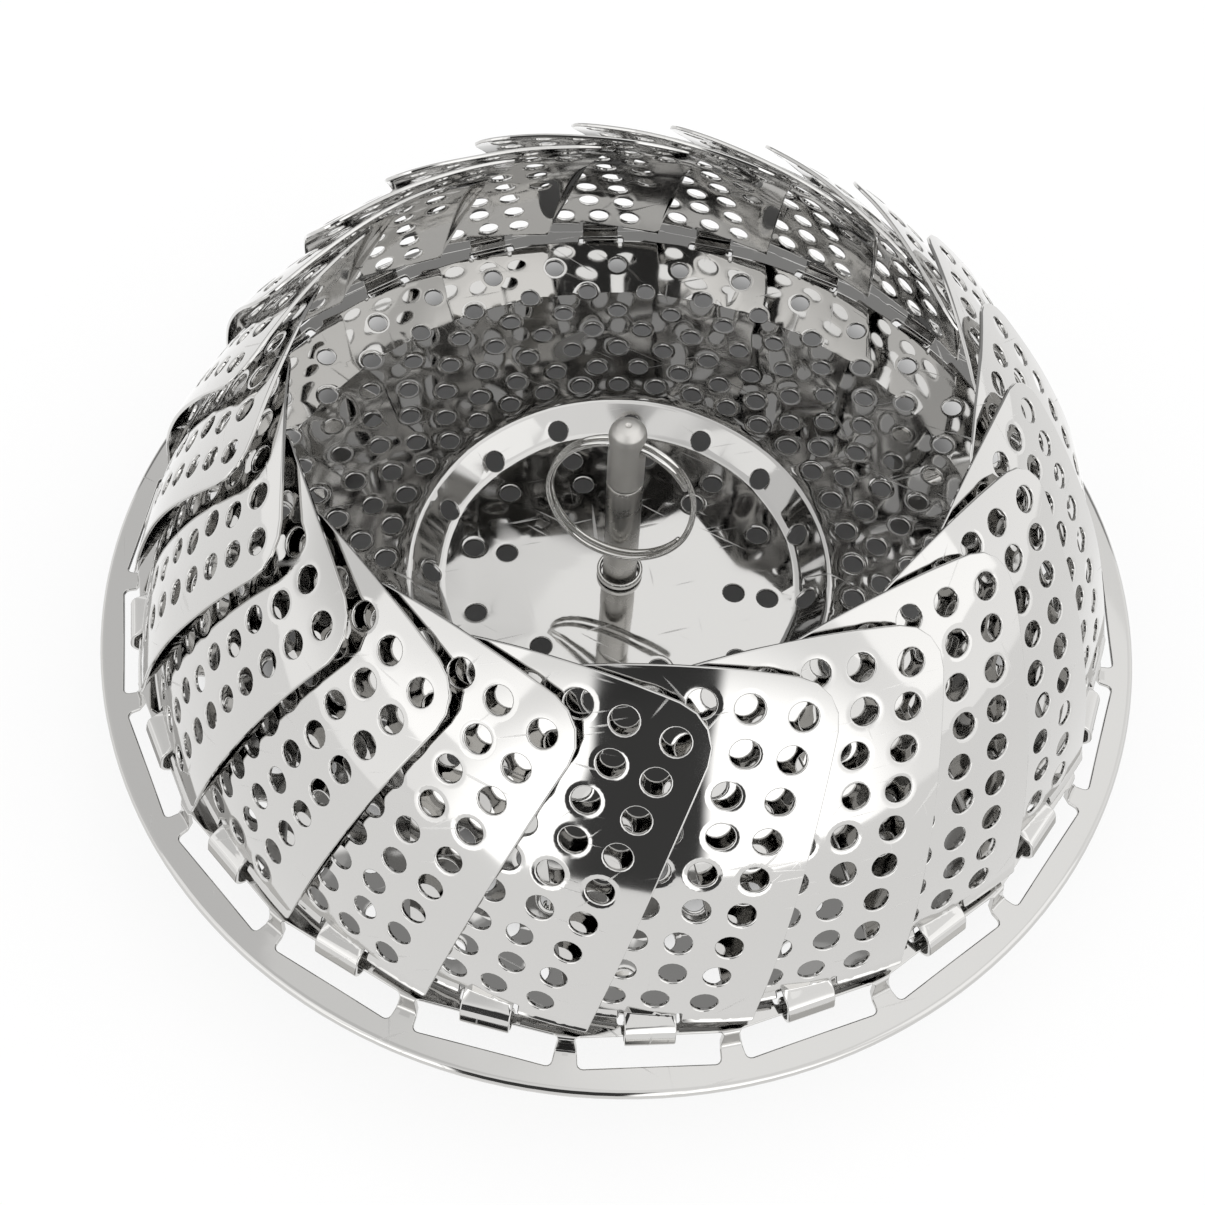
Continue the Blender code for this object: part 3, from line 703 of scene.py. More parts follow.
def cut_with(piece: bpy.types.Object, tool: bpy.types.Object, operation: str = "DIFFERENCE") -> None:
    """Cuts or trims a piece with another object, which is then removed.

    Args:
        piece: the object that stays.
        tool: the object that cuts.
        operation: DIFFERENCE or INTERSECT.
    """
    boolean = piece.modifiers.new("cut", "BOOLEAN")
    boolean.operation = operation
    boolean.solver = "EXACT"
    boolean.object = tool
    with_modifiers(piece)
    bpy.data.objects.remove(tool, do_unlink=True)


def soften_edges(piece: bpy.types.Object, width: float) -> None:
    """Bevels the sharp edges of a piece.

    Args:
        piece: the object.
        width: bevel width in millimetres.
    """
    bevel = piece.modifiers.new("edge", "BEVEL")
    bevel.width = width * MM
    bevel.segments = 2
    bevel.limit_method = "ANGLE"
    bevel.angle_limit = math.radians(SHARP_DEG)
    with_modifiers(piece)
    piece.data.shade_smooth()
    piece.data.set_sharp_from_angle(angle=math.radians(SHARP_DEG))


def block(name: str, size: tuple[float, float, float], middle: tuple[float, float, float],
          material: bpy.types.Material) -> bpy.types.Object:
    """Makes a block, which other steps cut and bevel.

    Args:
        name: the object's name.
        size: its three sizes.
        middle: its centre.
        material: its finish.

    Returns:
        The object.
    """
    bm = bmesh.new()
    matrix = Matrix.Translation(Vector(middle) * MM) @ Matrix.Diagonal((*(Vector(size) * MM), 1.0))
    bmesh.ops.create_cube(bm, size=1.0, matrix=matrix)
    return add_piece(name, mesh_from(bm, name), material)


def bar(name: str, radius: float, length: float, sides: int, matrix: Matrix,
        material: bpy.types.Material) -> bpy.types.Object:
    """Makes a prism or round bar along its own Z.

    Args:
        name: the object's name.
        radius: its radius, to its corners.
        length: its length.
        sides: its sides.
        matrix: its place, with the translation in metres.
        material: its finish.

    Returns:
        The object.
    """
    bm = bmesh.new()
    bmesh.ops.create_cone(bm, cap_ends=True, segments=sides, radius1=radius * MM, radius2=radius * MM,
                          depth=length * MM, matrix=matrix)
    return add_piece(name, mesh_from(bm, name), material)


def carried(piece: bpy.types.Object, body: str, node: str) -> None:
    """Lets a piece ride on a body in place of a CAD node, and reports it.

    Args:
        piece: the piece.
        body: the body that carries it.
        node: the node that it stands for.
    """
    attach(piece, body)
    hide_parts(node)
    log.info("%s: %d faces, on %s for %s", piece.name, len(piece.data.polygons), body, node)


def joint_of(body: str) -> dict[str, Any]:
    """Returns the joint that carries a body."""
    return next(joint for joint in frame["joints"] if joint["child"] == body)


@dataclass
class Waves:
    """A slow unevenness of pressed sheet: a few sine waves in seeded directions.

    Attributes:
        seed: picks the directions and phases.
        slope: steepness of each wave.
        shortest: shortest wavelength.
        longest: longest wavelength.
        count: number of waves.
        pitch: each wave's number, in radians per millimetre.
        axes: the same along the pattern's two axes.
        phase: each wave's phase.
    """

    seed: int
    slope: float
    shortest: float
    longest: float
    count: int = 6
    pitch: np.ndarray = field(init=False)
    axes: np.ndarray = field(init=False)
    phase: np.ndarray = field(init=False)

    def __post_init__(self) -> None:
        """Draws the waves."""
        rng = np.random.default_rng(self.seed)
        length = rng.uniform(self.shortest, self.longest, self.count)
        turn = rng.uniform(0, math.tau, self.count)
        self.pitch = math.tau / length
        self.axes = np.stack([np.cos(turn), np.sin(turn)]) * self.pitch
        self.phase = rng.uniform(0, math.tau, self.count)

    def at(self, flat: np.ndarray) -> np.ndarray:
        """Returns the unevenness at pattern points, in millimetres."""
        return (np.sin(flat @ self.axes + self.phase) / self.pitch).sum(axis=1) * self.slope


@dataclass
class Pan:
    """The pressed and punched pan, whose rim carries the hinge bars.

    Heights are counted from the flat rim, and radii from the post.

    Attributes:
        rim_height: height of the flat rim over the table.
        rim_radius: radius of the pan over its curled edge.
        sheet: thickness of the sheet.
        stud_hole: radius of the hole for the post's stud.
        floor_drop, dish_radius, dish_wall_run, dish_lip_rise: depth of the dish's floor, its radius, the
            width of its sloping wall and the height of its lip.
        crease_radius, crease_rise: where the field meets the steeper outer band.
        ledge_inner, ledge_outer, ledge_rise: the raised ledge that the hinge bars are cut from.
        riser_run: width of the step from the ledge down to the rim.
        floor_round, lip_round, crease_round, ledge_round, riser_round: fillets of the profile.
        bead, bead_turn_deg: radius and turn of the curled edge.
        hinge_radius, bar_width: the hinge bars.
        slot_inner, slot_length: the tongue slots inside them.
        window_depth, spoke_width, corner: the windows outside them, the spokes between these, and their
            corners.
        leaf_count, first_leaf_deg: the bars round the rim, and the direction of the first.
        edge_round, dent_width: the rounding of a punched edge, and the width of the dent round it.
        calm_rim, calm_run: width at the rim with no unevenness, and the run over which it fades.
        punch, punch_dish: diameters of the holes of the field and of the dish.
        field_dents, dish_dents: range of the depth of the dents round these holes.
        hole_steps, corner_steps: steps round a quarter of a hole and round a corner of an opening.
        rim_steps, stud_steps, bead_steps: steps round the rim, round the stud's hole and over the bead.
        first_row, longest_row, row_bend_deg: the innermost row of pattern points, and the longest step and
            greatest bend between two rows.
        row_counts: points to a leaf in a row, with the length from the middle up to which each holds.
        spoke_rows: length from which rows have a point more on each spoke.
        line, along: the profile's points and the length along it.
        waves: the sheet's unevenness.
        hole_rings: radius, count, first angle, and whether the hole is one of the dish's.
    """

    rim_height: float = 22.0
    rim_radius: float = 78.0
    sheet: float = 0.6
    stud_hole: float = 2.1
    floor_drop: float = 0.8
    dish_radius: float = 27.5
    dish_wall_run: float = 4.2
    dish_lip_rise: float = 2.7
    crease_radius: float = 58.3
    crease_rise: float = 0.7
    ledge_inner: float = 68.8
    ledge_outer: float = 72.2
    ledge_rise: float = 3.1
    riser_run: float = 0.6
    floor_round: float = 2.2
    lip_round: float = 1.3
    crease_round: float = 0.5
    ledge_round: float = 0.9
    riser_round: float = 0.45
    bead: float = 1.0
    bead_turn_deg: float = 215.0
    hinge_radius: float = 70.6
    bar_width: float = 1.4
    slot_inner: float = 68.4
    slot_length: float = 7.8
    window_depth: float = 3.0
    spoke_width: float = 2.4
    corner: float = 0.7
    leaf_count: int = 22
    first_leaf_deg: float = -100.55
    edge_round: float = 0.2
    dent_width: float = 0.8
    calm_rim: float = 2.0
    calm_run: float = 6.0
    punch: float = 3.05
    punch_dish: float = 3.2
    field_dents: tuple[float, float] = (0.03, 0.08)
    dish_dents: tuple[float, float] = (0.01, 0.03)
    hole_steps: int = 5
    corner_steps: int = 3
    rim_steps: int = 352
    stud_steps: int = 32
    bead_steps: int = 399
    first_row: float = 3.5
    longest_row: float = 2.4
    row_bend_deg: float = 12.0
    row_counts: tuple[tuple[float, int], ...] = ((13.0, 2), (36.0, 4), (math.inf, 8))
    spoke_rows: float = 60.0
    line: np.ndarray = field(init=False)
    along: np.ndarray = field(init=False)
    waves: Waves = field(init=False)
    hole_rings: tuple[tuple[float, int, float, bool], ...] = (
        (63.96, 36, 43.4, False), (58.66, 36, 38.5, False),
        (53.8, 36, 43.4, False), (49.1, 36, 38.5, False), (44.5, 36, 43.4, False),
        (39.8, 36, 38.5, False), (35.6, 36, 43.4, False),
        (28.7, 15, 17.5, True), (23.0, 12, 22.4, True), (17.8, 6, -8.0, True),
    )

    def __post_init__(self) -> None:
        """Draws the profile of the upper side, as a table over the length along it, and its unevenness."""
        self.waves = Waves(seed=7, slope=0.012, shortest=7.0, longest=24.0, count=8)
        lip = self.dish_radius + self.dish_wall_run
        flange_end = self.rim_radius - self.bead
        riser = self.ledge_outer + self.riser_run
        corners = [
            (0.0, -self.floor_drop, 0.0),
            (self.dish_radius, -self.floor_drop, self.floor_round),
            (lip, self.dish_lip_rise, self.lip_round),
            (self.crease_radius, self.crease_rise, self.crease_round),
            (self.ledge_inner, self.ledge_rise, self.ledge_round),
            (self.ledge_outer, self.ledge_rise, self.riser_round),
            (riser, 0.0, self.riser_round),
            (flange_end, 0.0, 0.0),
        ]
        line = filleted(corners, step_deg=0.5)
        turns = np.radians(np.linspace(90, 90 - self.bead_turn_deg, self.bead_steps + 1)[1:])
        curl = np.stack([flange_end + self.bead * np.cos(turns), self.bead * (np.sin(turns) - 1)], axis=1)
        line = np.vstack([line, curl])
        steps = np.linalg.norm(np.diff(line, axis=0), axis=1)
        self.line = line
        self.along = np.concatenate([[0.0], np.cumsum(steps)])

    def length_at(self, radius: float) -> float:
        """Returns the length along the profile at a radius inside the bead."""
        end = int(np.argmax(self.line[:, 0]))
        return float(np.interp(radius, self.line[:end, 0], self.along[:end]))

    def place(self, flat: np.ndarray) -> np.ndarray:
        """Gives the upper side's points.

        Args:
            flat: (n, 2) pattern points, whose radius is the length along the profile.

        Returns:
            (n, 3) points.
        """
        length = np.hypot(flat[:, 0], flat[:, 1])
        radius = np.interp(length, self.along, self.line[:, 0])
        height = np.interp(length, self.along, self.line[:, 1]) + self.rim_height
        calm = np.clip((self.rim_radius - self.calm_rim - radius) / self.calm_run, 0, 1)
        height = height + self.waves.at(flat) * calm
        share = radius / np.maximum(length, 1e-9)
        return np.stack([flat[:, 0] * share, flat[:, 1] * share, height], axis=1)

    def hole(self, radius: float, angle_deg: float, half_a: float, half_b: float, corner: float,
             dent: float) -> Edge:
        """Makes the edge of one opening.

        Args:
            radius: radius of its middle.
            angle_deg: its direction from the post.
            half_a: half its size outward.
            half_b: half its size along the rim.
            corner: its corner radius.
            dent: how deep the sheet is pressed in round it.

        Returns:
            The edge, in the pattern.
        """
        steps = self.hole_steps if dent else self.corner_steps
        core, away = rounded_hole(half_a, half_b, corner, steps, longest=1.0)
        length = self.length_at(radius)
        angle = math.radians(angle_deg)
        outward = np.array((math.cos(angle), math.sin(angle)))
        across = np.array((-math.sin(angle), math.cos(angle))) * length / radius
        origin = outward * length
        core = origin + core[:, :1] * outward + core[:, 1:] * across
        away = away[:, :1] * outward + away[:, 1:] * across
        return Edge(core, away, corner, self.dent_width if dent else 0.0, dent)

    def edges(self) -> list[Edge]:
        """Draws the openings.

        Returns:
            The rim's edge, the stud hole, the windows and tongue slots, and the round holes.
        """
        rng = np.random.default_rng(41)
        rim = directions(np.linspace(0, -math.tau, self.rim_steps + 1)[:-1])
        edges = [Edge(rim * self.along[-1], -rim, 0.0, is_hole=False)]
        away = directions(np.linspace(0, math.tau, self.stud_steps + 1)[:-1])
        edges.append(Edge(away * 0.0, away, self.stud_hole))
        bar_outer = self.hinge_radius + self.bar_width / 2
        bar_inner = self.hinge_radius - self.bar_width / 2
        window_outer = bar_outer + self.window_depth
        half_window = bar_outer * math.tan(math.pi / self.leaf_count) - self.spoke_width / 2
        low, high = self.length_at(bar_outer), self.length_at(window_outer)
        middle = float(np.interp((low + high) / 2, self.along, self.line[:, 0]))
        slot_half = (self.length_at(bar_inner) - self.length_at(self.slot_inner)) / 2
        for index in range(self.leaf_count):
            angle = self.first_leaf_deg + index * 360 / self.leaf_count
            edges.append(self.hole(middle, angle, (high - low) / 2, half_window, self.corner, 0.0))
            edges.append(self.hole((bar_inner + self.slot_inner) / 2, angle, slot_half,
                                   self.slot_length / 2, self.corner / 2, 0.0))
        for radius, count, first, dish in self.hole_rings:
            half = (self.punch_dish if dish else self.punch) / 2
            for index in range(count):
                dent = float(rng.uniform(*(self.dish_dents if dish else self.field_dents)))
                edges.append(self.hole(radius, first + index * 360 / count, half, half, half, dent))
        return edges

    def points(self) -> np.ndarray:
        """Lays the pattern's rows, closer where the profile bends.

        Returns:
            The pattern points, as an (n, 2) array.
        """
        slope = np.arctan2(np.diff(self.line[:, 1]), np.diff(self.line[:, 0]))
        sharpest = math.radians(self.row_bend_deg)
        rows = [self.first_row]
        bend, last = 0.0, slope[0]
        for length, turn in zip(self.along[1:], slope):
            bend += abs(turn - last)
            last = turn
            if length > rows[-1] and (bend > sharpest or length - rows[-1] > self.longest_row):
                rows.append(float(length))
                bend = 0.0
        result = []
        for row in rows[:-1]:
            per_leaf = next(count for end, count in self.row_counts if row < end)
            counts = [self.leaf_count * per_leaf] + [self.leaf_count] * (row > self.spoke_rows)
            for count in counts:
                turns = math.radians(self.first_leaf_deg) + (np.arange(count) + 0.5) * math.tau / count
                result.append(directions(turns) * row)
        return np.vstack(result)

    def build(self) -> None:
        """Builds the pan."""
        sheet = PunchedSheet(self.edges(), self.points(), front=0.0, back=-self.sheet,
                             front_round=self.edge_round, back_round=self.edge_round / 2)
        points, faces, normals = sheet.mesh(self.place)
        pan = add_piece("pan_sheet", mesh_of("pan_sheet", points, faces, normals), MIRROR_SHEET.material())
        carried(pan, "pan", "base_pan")


@dataclass
class LeafRing:
    """The ring of hinged leaves, each a punched and curved blade with a rolled tongue round its hinge bar.

    A leaf's pattern runs sideways and upward from the middle of its hinge.

    Attributes:
        count: number of leaves.
        sheet: thickness of the sheet.
        length: height of the top of the bowed top edge.
        top_middle, top_arc: place of that top, and radius of the bow.
        bow_span, bow_step, bow_round: stretch in which the top edge has points, their distance and their
            fillet.
        lean_deg: how far the foot leans inward.
        curve_radius: radius of the blade's curve over its height.
        foot_left, foot_right, top_left, top_right: half widths at the foot and at the top.
        corner, foot_corner: radii of the top's and the foot's corners.
        bend_radius, tilt: radius of the blade's curve over its width, and its twist, as a slope.
        fold_height, foot_height: height of the fold over the foot, and of the foot's edge.
        foot_flare, fold_round: how far the foot flares below the fold, as a slope, and the fold's half run.
        tongue_width, tip_corner: width of the tongue and radius of its end's corners.
        slit, slit_corner: width of the slits beside it and radius of their mouths.
        hook_reach, hook_drop, hook_inner: the rolled tongue's size outward, downward and inward of the bar.
        hook_slope, hook_round, hook_tuck: slope of its first stretch, its fillet, and the last fillet's
            share.
        hook_end, hook_lead: depth below the bar's middle at which the tongue ends, and height of a lead
            past it.
        hair, finer_from: a length too small to see, and the height over the fold below which the tongue's
            outline has close points.
        hole: diameter of the punched holes.
        rows, columns: most rows of holes up the blade, and most holes in a row.
        first_row, row_step, row_bow: height and distance of the rows, and how far they follow the top's
            bow.
        first_side, column_step, fan, zigzag: place of the first hole in a row, distance of the holes, how
            far the rows shift sideways with height, and the second hole's alternating shift.
        top_clear, left_clear: distance of a hole's middle from the top and the left edge.
        dents: range of the depth of the dents round the holes.
        edge_round, dent_width: the rounding of a punched edge, and the width of the dent round it.
        hole_steps: steps round a quarter of a hole.
        calm_height, calm_run: height up to which there is no unevenness, and the run over which it grows.
        tongue_fade: length over which the tongue loses the blade's curve.
        longest, longest_tongue: longest steps along the outline of the blade and of the tongue.
        blade_step, fold_step, fold_rise, tongue_columns: distances of the pattern's points in the blade and
            in the fold, and their count over the tongue.
        tongue_along, tongue_out, tongue_up: the tongue's path: the length along it, and its place.
        tongue_length: its whole length.
    """

    count: int = 22
    sheet: float = 0.5
    length: float = 52.0
    top_middle: float = -5.0
    top_arc: float = 120.0
    bow_span: tuple[float, float] = (-5.0, 15.0)
    bow_step: float = 3.5
    bow_round: float = 60.0
    lean_deg: float = 17.0
    curve_radius: float = 81.1
    foot_left: float = 10.15
    foot_right: float = 12.65
    top_left: float = 13.95
    top_right: float = 21.25
    corner: float = 5.5
    foot_corner: float = 0.4
    bend_radius: float = 88.0
    tilt: float = 0.11
    fold_height: float = 3.6
    foot_height: float = 2.7
    foot_flare: float = 0.45
    fold_round: float = 0.5
    tongue_width: float = 6.4
    tip_corner: float = 0.8
    slit: float = 0.6
    slit_corner: float = 0.3
    hook_reach: float = 1.75
    hook_drop: float = 1.4
    hook_inner: float = 1.4
    hook_slope: float = 0.65
    hook_round: float = 1.7
    hook_tuck: float = 0.8
    hook_end: float = 0.2
    hook_lead: float = 1.0
    hair: float = 0.01
    finer_from: float = 0.1
    hole: float = 3.3
    rows: int = 9
    columns: int = 12
    first_row: float = 6.4
    row_step: float = 4.91
    row_bow: float = 1.2
    top_clear: float = 2.9
    first_side: float = 6.45
    column_step: float = 5.6
    fan: float = 0.25
    zigzag: float = 0.35
    left_clear: float = 3.4
    dents: tuple[float, float] = (0.02, 0.07)
    edge_round: float = 0.2
    dent_width: float = 0.8
    hole_steps: int = 5
    calm_height: float = 5.0
    calm_run: float = 8.0
    tongue_fade: float = 2.0
    longest: float = 1.8
    longest_tongue: float = 0.3
    blade_step: float = 2.4
    fold_step: float = 1.2
    fold_rise: float = 0.25
    tongue_columns: int = 7
    tongue_along: np.ndarray = field(init=False)
    tongue_out: np.ndarray = field(init=False)
    tongue_up: np.ndarray = field(init=False)
    tongue_length: float = field(init=False)

    def __post_init__(self) -> None:
        """Draws the tongue's path, outward over the bar and round it, as a table over its length."""
        over = self.fold_height - self.hook_reach * self.hook_slope
        path = filleted([
            (0.0, self.fold_height + self.fold_round, 0.0),
            (0.0, self.fold_height, self.fold_round),
            (self.hook_reach, over, self.hook_round),
            (self.hook_reach, -self.hook_drop, self.hook_round),
            (-self.hook_inner, -self.hook_drop, self.hook_round * self.hook_tuck),
            (-self.hook_inner, -self.hook_end, 0.0),
            (-self.hook_inner, self.hook_lead, 0.0),
        ], step_deg=5.0)
        steps = np.linalg.norm(np.diff(path, axis=0), axis=1)
        self.tongue_along = np.concatenate([[0.0], np.cumsum(steps)]) - self.fold_round
        self.tongue_out = path[:, 0]
        self.tongue_up = path[:, 1]
        self.tongue_length = float(self.tongue_along[-2])

    def top_at(self, side: float) -> float:
        """Returns the height of the bowed top edge at a place."""
        return self.length - (side - self.top_middle) ** 2 / (2 * self.top_arc)

    def side_at(self, height: float, right: bool) -> float:
        """Finds a side edge.

        Args:
            height: the height.
            right: True for the right edge.

        Returns:
            The edge's place at that height.
        """
        share = (height - self.foot_height) / (self.length - self.foot_height)
        if right:
            return self.foot_right + share * (self.top_right - self.foot_right)
        return -(self.foot_left + share * (self.top_left - self.foot_left))

    def outline(self) -> Edge:
        """Draws the outline of the blade and its tongue.

        Returns:
            The edge, clockwise.
        """
        half = self.tongue_width / 2
        slit = half + self.slit
        slit_top = self.fold_height + self.slit
        tip = self.fold_height - self.tongue_length
        foot = self.foot_height
        end = self.slit / 2 - self.hair
        places = np.arange(*self.bow_span, self.bow_step)
        bowed = [(side, self.top_at(side), self.bow_round) for side in places]
        corners = [
            (-self.foot_left, foot, self.foot_corner),
            (-self.top_left, self.top_at(-self.top_left), self.corner),
            *bowed,
            (self.top_right, self.top_at(self.top_right), self.corner),
            (self.foot_right, foot, self.foot_corner),
            (slit, foot, self.slit_corner), (slit, slit_top, end), (half, slit_top, end),
            (half, tip, self.tip_corner), (-half, tip, self.tip_corner),
            (-half, slit_top, end), (-slit, slit_top, end), (-slit, foot, self.slit_corner),
        ]
        middle = ((corners[-1][0] + corners[0][0]) / 2, foot, 0.0)
        line = filleted([middle, *corners, middle], step_deg=22.5)
        line = divided(line, self.longest)
        tongue = np.abs(line[:, 0]) < half + self.hair
        tongue &= line[:, 1] < self.fold_height + self.finer_from
        first, last = np.flatnonzero(tongue)[[0, -1]]
        finer = divided(line[first:last + 1], self.longest_tongue)
        line = np.vstack([line[:first], finer, line[last + 1:-1]])
        before = line - np.roll(line, 1, axis=0)
        after = np.roll(line, -1, axis=0) - line
        before /= np.linalg.norm(before, axis=1, keepdims=True)
        after /= np.linalg.norm(after, axis=1, keepdims=True)
        one = np.stack([before[:, 1], -before[:, 0]], axis=1)
        two = np.stack([after[:, 1], -after[:, 0]], axis=1)
        away = (one + two) / (1 + (one * two).sum(axis=1, keepdims=True))
        return Edge(line, away, 0.0, is_hole=False)

    def holes(self) -> list[Edge]:
        """Draws the round holes, row by row from the right edge.

        Returns:
            Their edges.
        """
        rng = np.random.default_rng(5)
        half = self.hole / 2
        core, away = rounded_hole(half, half, half, self.hole_steps, longest=1.0)
        edges = []
        for row in range(self.rows):
            rise = row * self.row_step
            right = self.first_side + rise * self.fan
            for column in range(self.columns):
                side = right - column * self.column_step
                if column == 1:
                    side += self.zigzag if row % 2 else -self.zigzag
                height = self.first_row + rise + self.row_bow * (self.top_at(side) - self.top_at(right))
                if side < self.side_at(height, right=False) + self.left_clear:
                    break
                if height > self.top_at(side) - self.top_clear:
                    continue
                dent = float(rng.uniform(*self.dents))
                edges.append(Edge(core + (side, height), away, half, self.dent_width, dent))
        return edges

    def points(self) -> np.ndarray:
        """Lays the pattern's rows, closer at the fold and on the tongue.

        Returns:
            The pattern points, as an (n, 2) array.
        """
        half = self.tongue_width / 2
        # Each grid reaches past its part of the blade; the sheet keeps the points inside the outline.
        grids = (
            (np.arange(-15.0, 22.0, self.blade_step), np.arange(5.0, self.length, self.blade_step)),
            (np.arange(-13.0, 15.0, self.fold_step), np.arange(2.6, 4.4, self.fold_rise)),
            (np.linspace(-half, half, self.tongue_columns),
             np.arange(self.fold_height - self.tongue_length, self.fold_height, self.longest_tongue)),
        )
        return np.vstack([np.stack(np.meshgrid(*grid), axis=-1).reshape(-1, 2) for grid in grids])

    def place(self, flat: np.ndarray, hinge: Vector, axis: Vector, waves: Waves) -> np.ndarray:
        """Gives a leaf's middle surface.

        Args:
            flat: (n, 2) pattern points, sideways and upward.
            hinge: the middle of the hinge, in millimetres.
            axis: the hinge's axis.
            waves: this leaf's unevenness.

        Returns:
            (n, 3) points.
        """
        side, height = flat[:, 0], flat[:, 1]
        turn = np.clip((height - self.fold_height) / self.curve_radius, 0, None)
        bow = self.tilt * side - side ** 2 / (2 * self.bend_radius)
        calm = np.clip((height - self.calm_height) / self.calm_run, 0, 1)
        depth = bow + waves.at(flat) * calm
        below = self.fold_height - height
        flare = np.clip(below + self.fold_round, 0, 2 * self.fold_round) ** 2 / (4 * self.fold_round)
        flare = flare + np.clip(below - self.fold_round, 0, None)
        tongue = np.abs(side) < self.tongue_width / 2 + self.slit / 2
        is_tongue = tongue & (below > -self.fold_round)
        fade = np.clip(1 - (below + self.fold_round) / self.tongue_fade, 0, 1)
        fade = fade * fade * (3 - 2 * fade)
        out = np.where(is_tongue, depth * fade + np.interp(below, self.tongue_along, self.tongue_out),
                       depth + flare * self.foot_flare)
        up_low = np.where(is_tongue, np.interp(below, self.tongue_along, self.tongue_up), height)
        low = np.minimum(height, self.fold_height)
        inward = self.curve_radius * (1 - np.cos(turn))
        up = np.where(height < self.fold_height, up_low, low + self.curve_radius * np.sin(turn))
        x = np.where(height < self.fold_height, out, out * np.cos(turn) - inward)
        z = np.where(height < self.fold_height, up, up + out * np.sin(turn))
        lean = math.radians(self.lean_deg)
        outward = x * math.cos(lean) - z * math.sin(lean)
        upward = x * math.sin(lean) + z * math.cos(lean)
        out_axis = axis.cross(UP)
        return (np.array(hinge) + outward[:, None] * np.array(out_axis) + side[:, None] * np.array(axis)
                + upward[:, None] * np.array(UP))

    def build(self) -> None:
        """Builds the leaves on their hinges."""
        pattern = PunchedSheet([self.outline(), *self.holes()], self.points(),
                               front=self.sheet / 2, back=-self.sheet / 2,
                               front_round=self.edge_round, back_round=self.edge_round / 2)
        material = MIRROR_LEAF.material()
        for index in range(self.count):
            body = f"petal_{index + 1:02d}"
            joint = joint_of(body)
            hinge = Vector(joint["pos_m"]) / MM
            axis = Vector(joint["axis"])
            waves = Waves(seed=100 + index, slope=0.010, shortest=11.0, longest=40.0)
            points, faces, normals = pattern.mesh(lambda flat: self.place(flat, hinge, axis, waves))
            leaf = add_piece(f"leaf_{index + 1:02d}", mesh_of(body, points, faces, normals), material)
            carried(leaf, body, body)


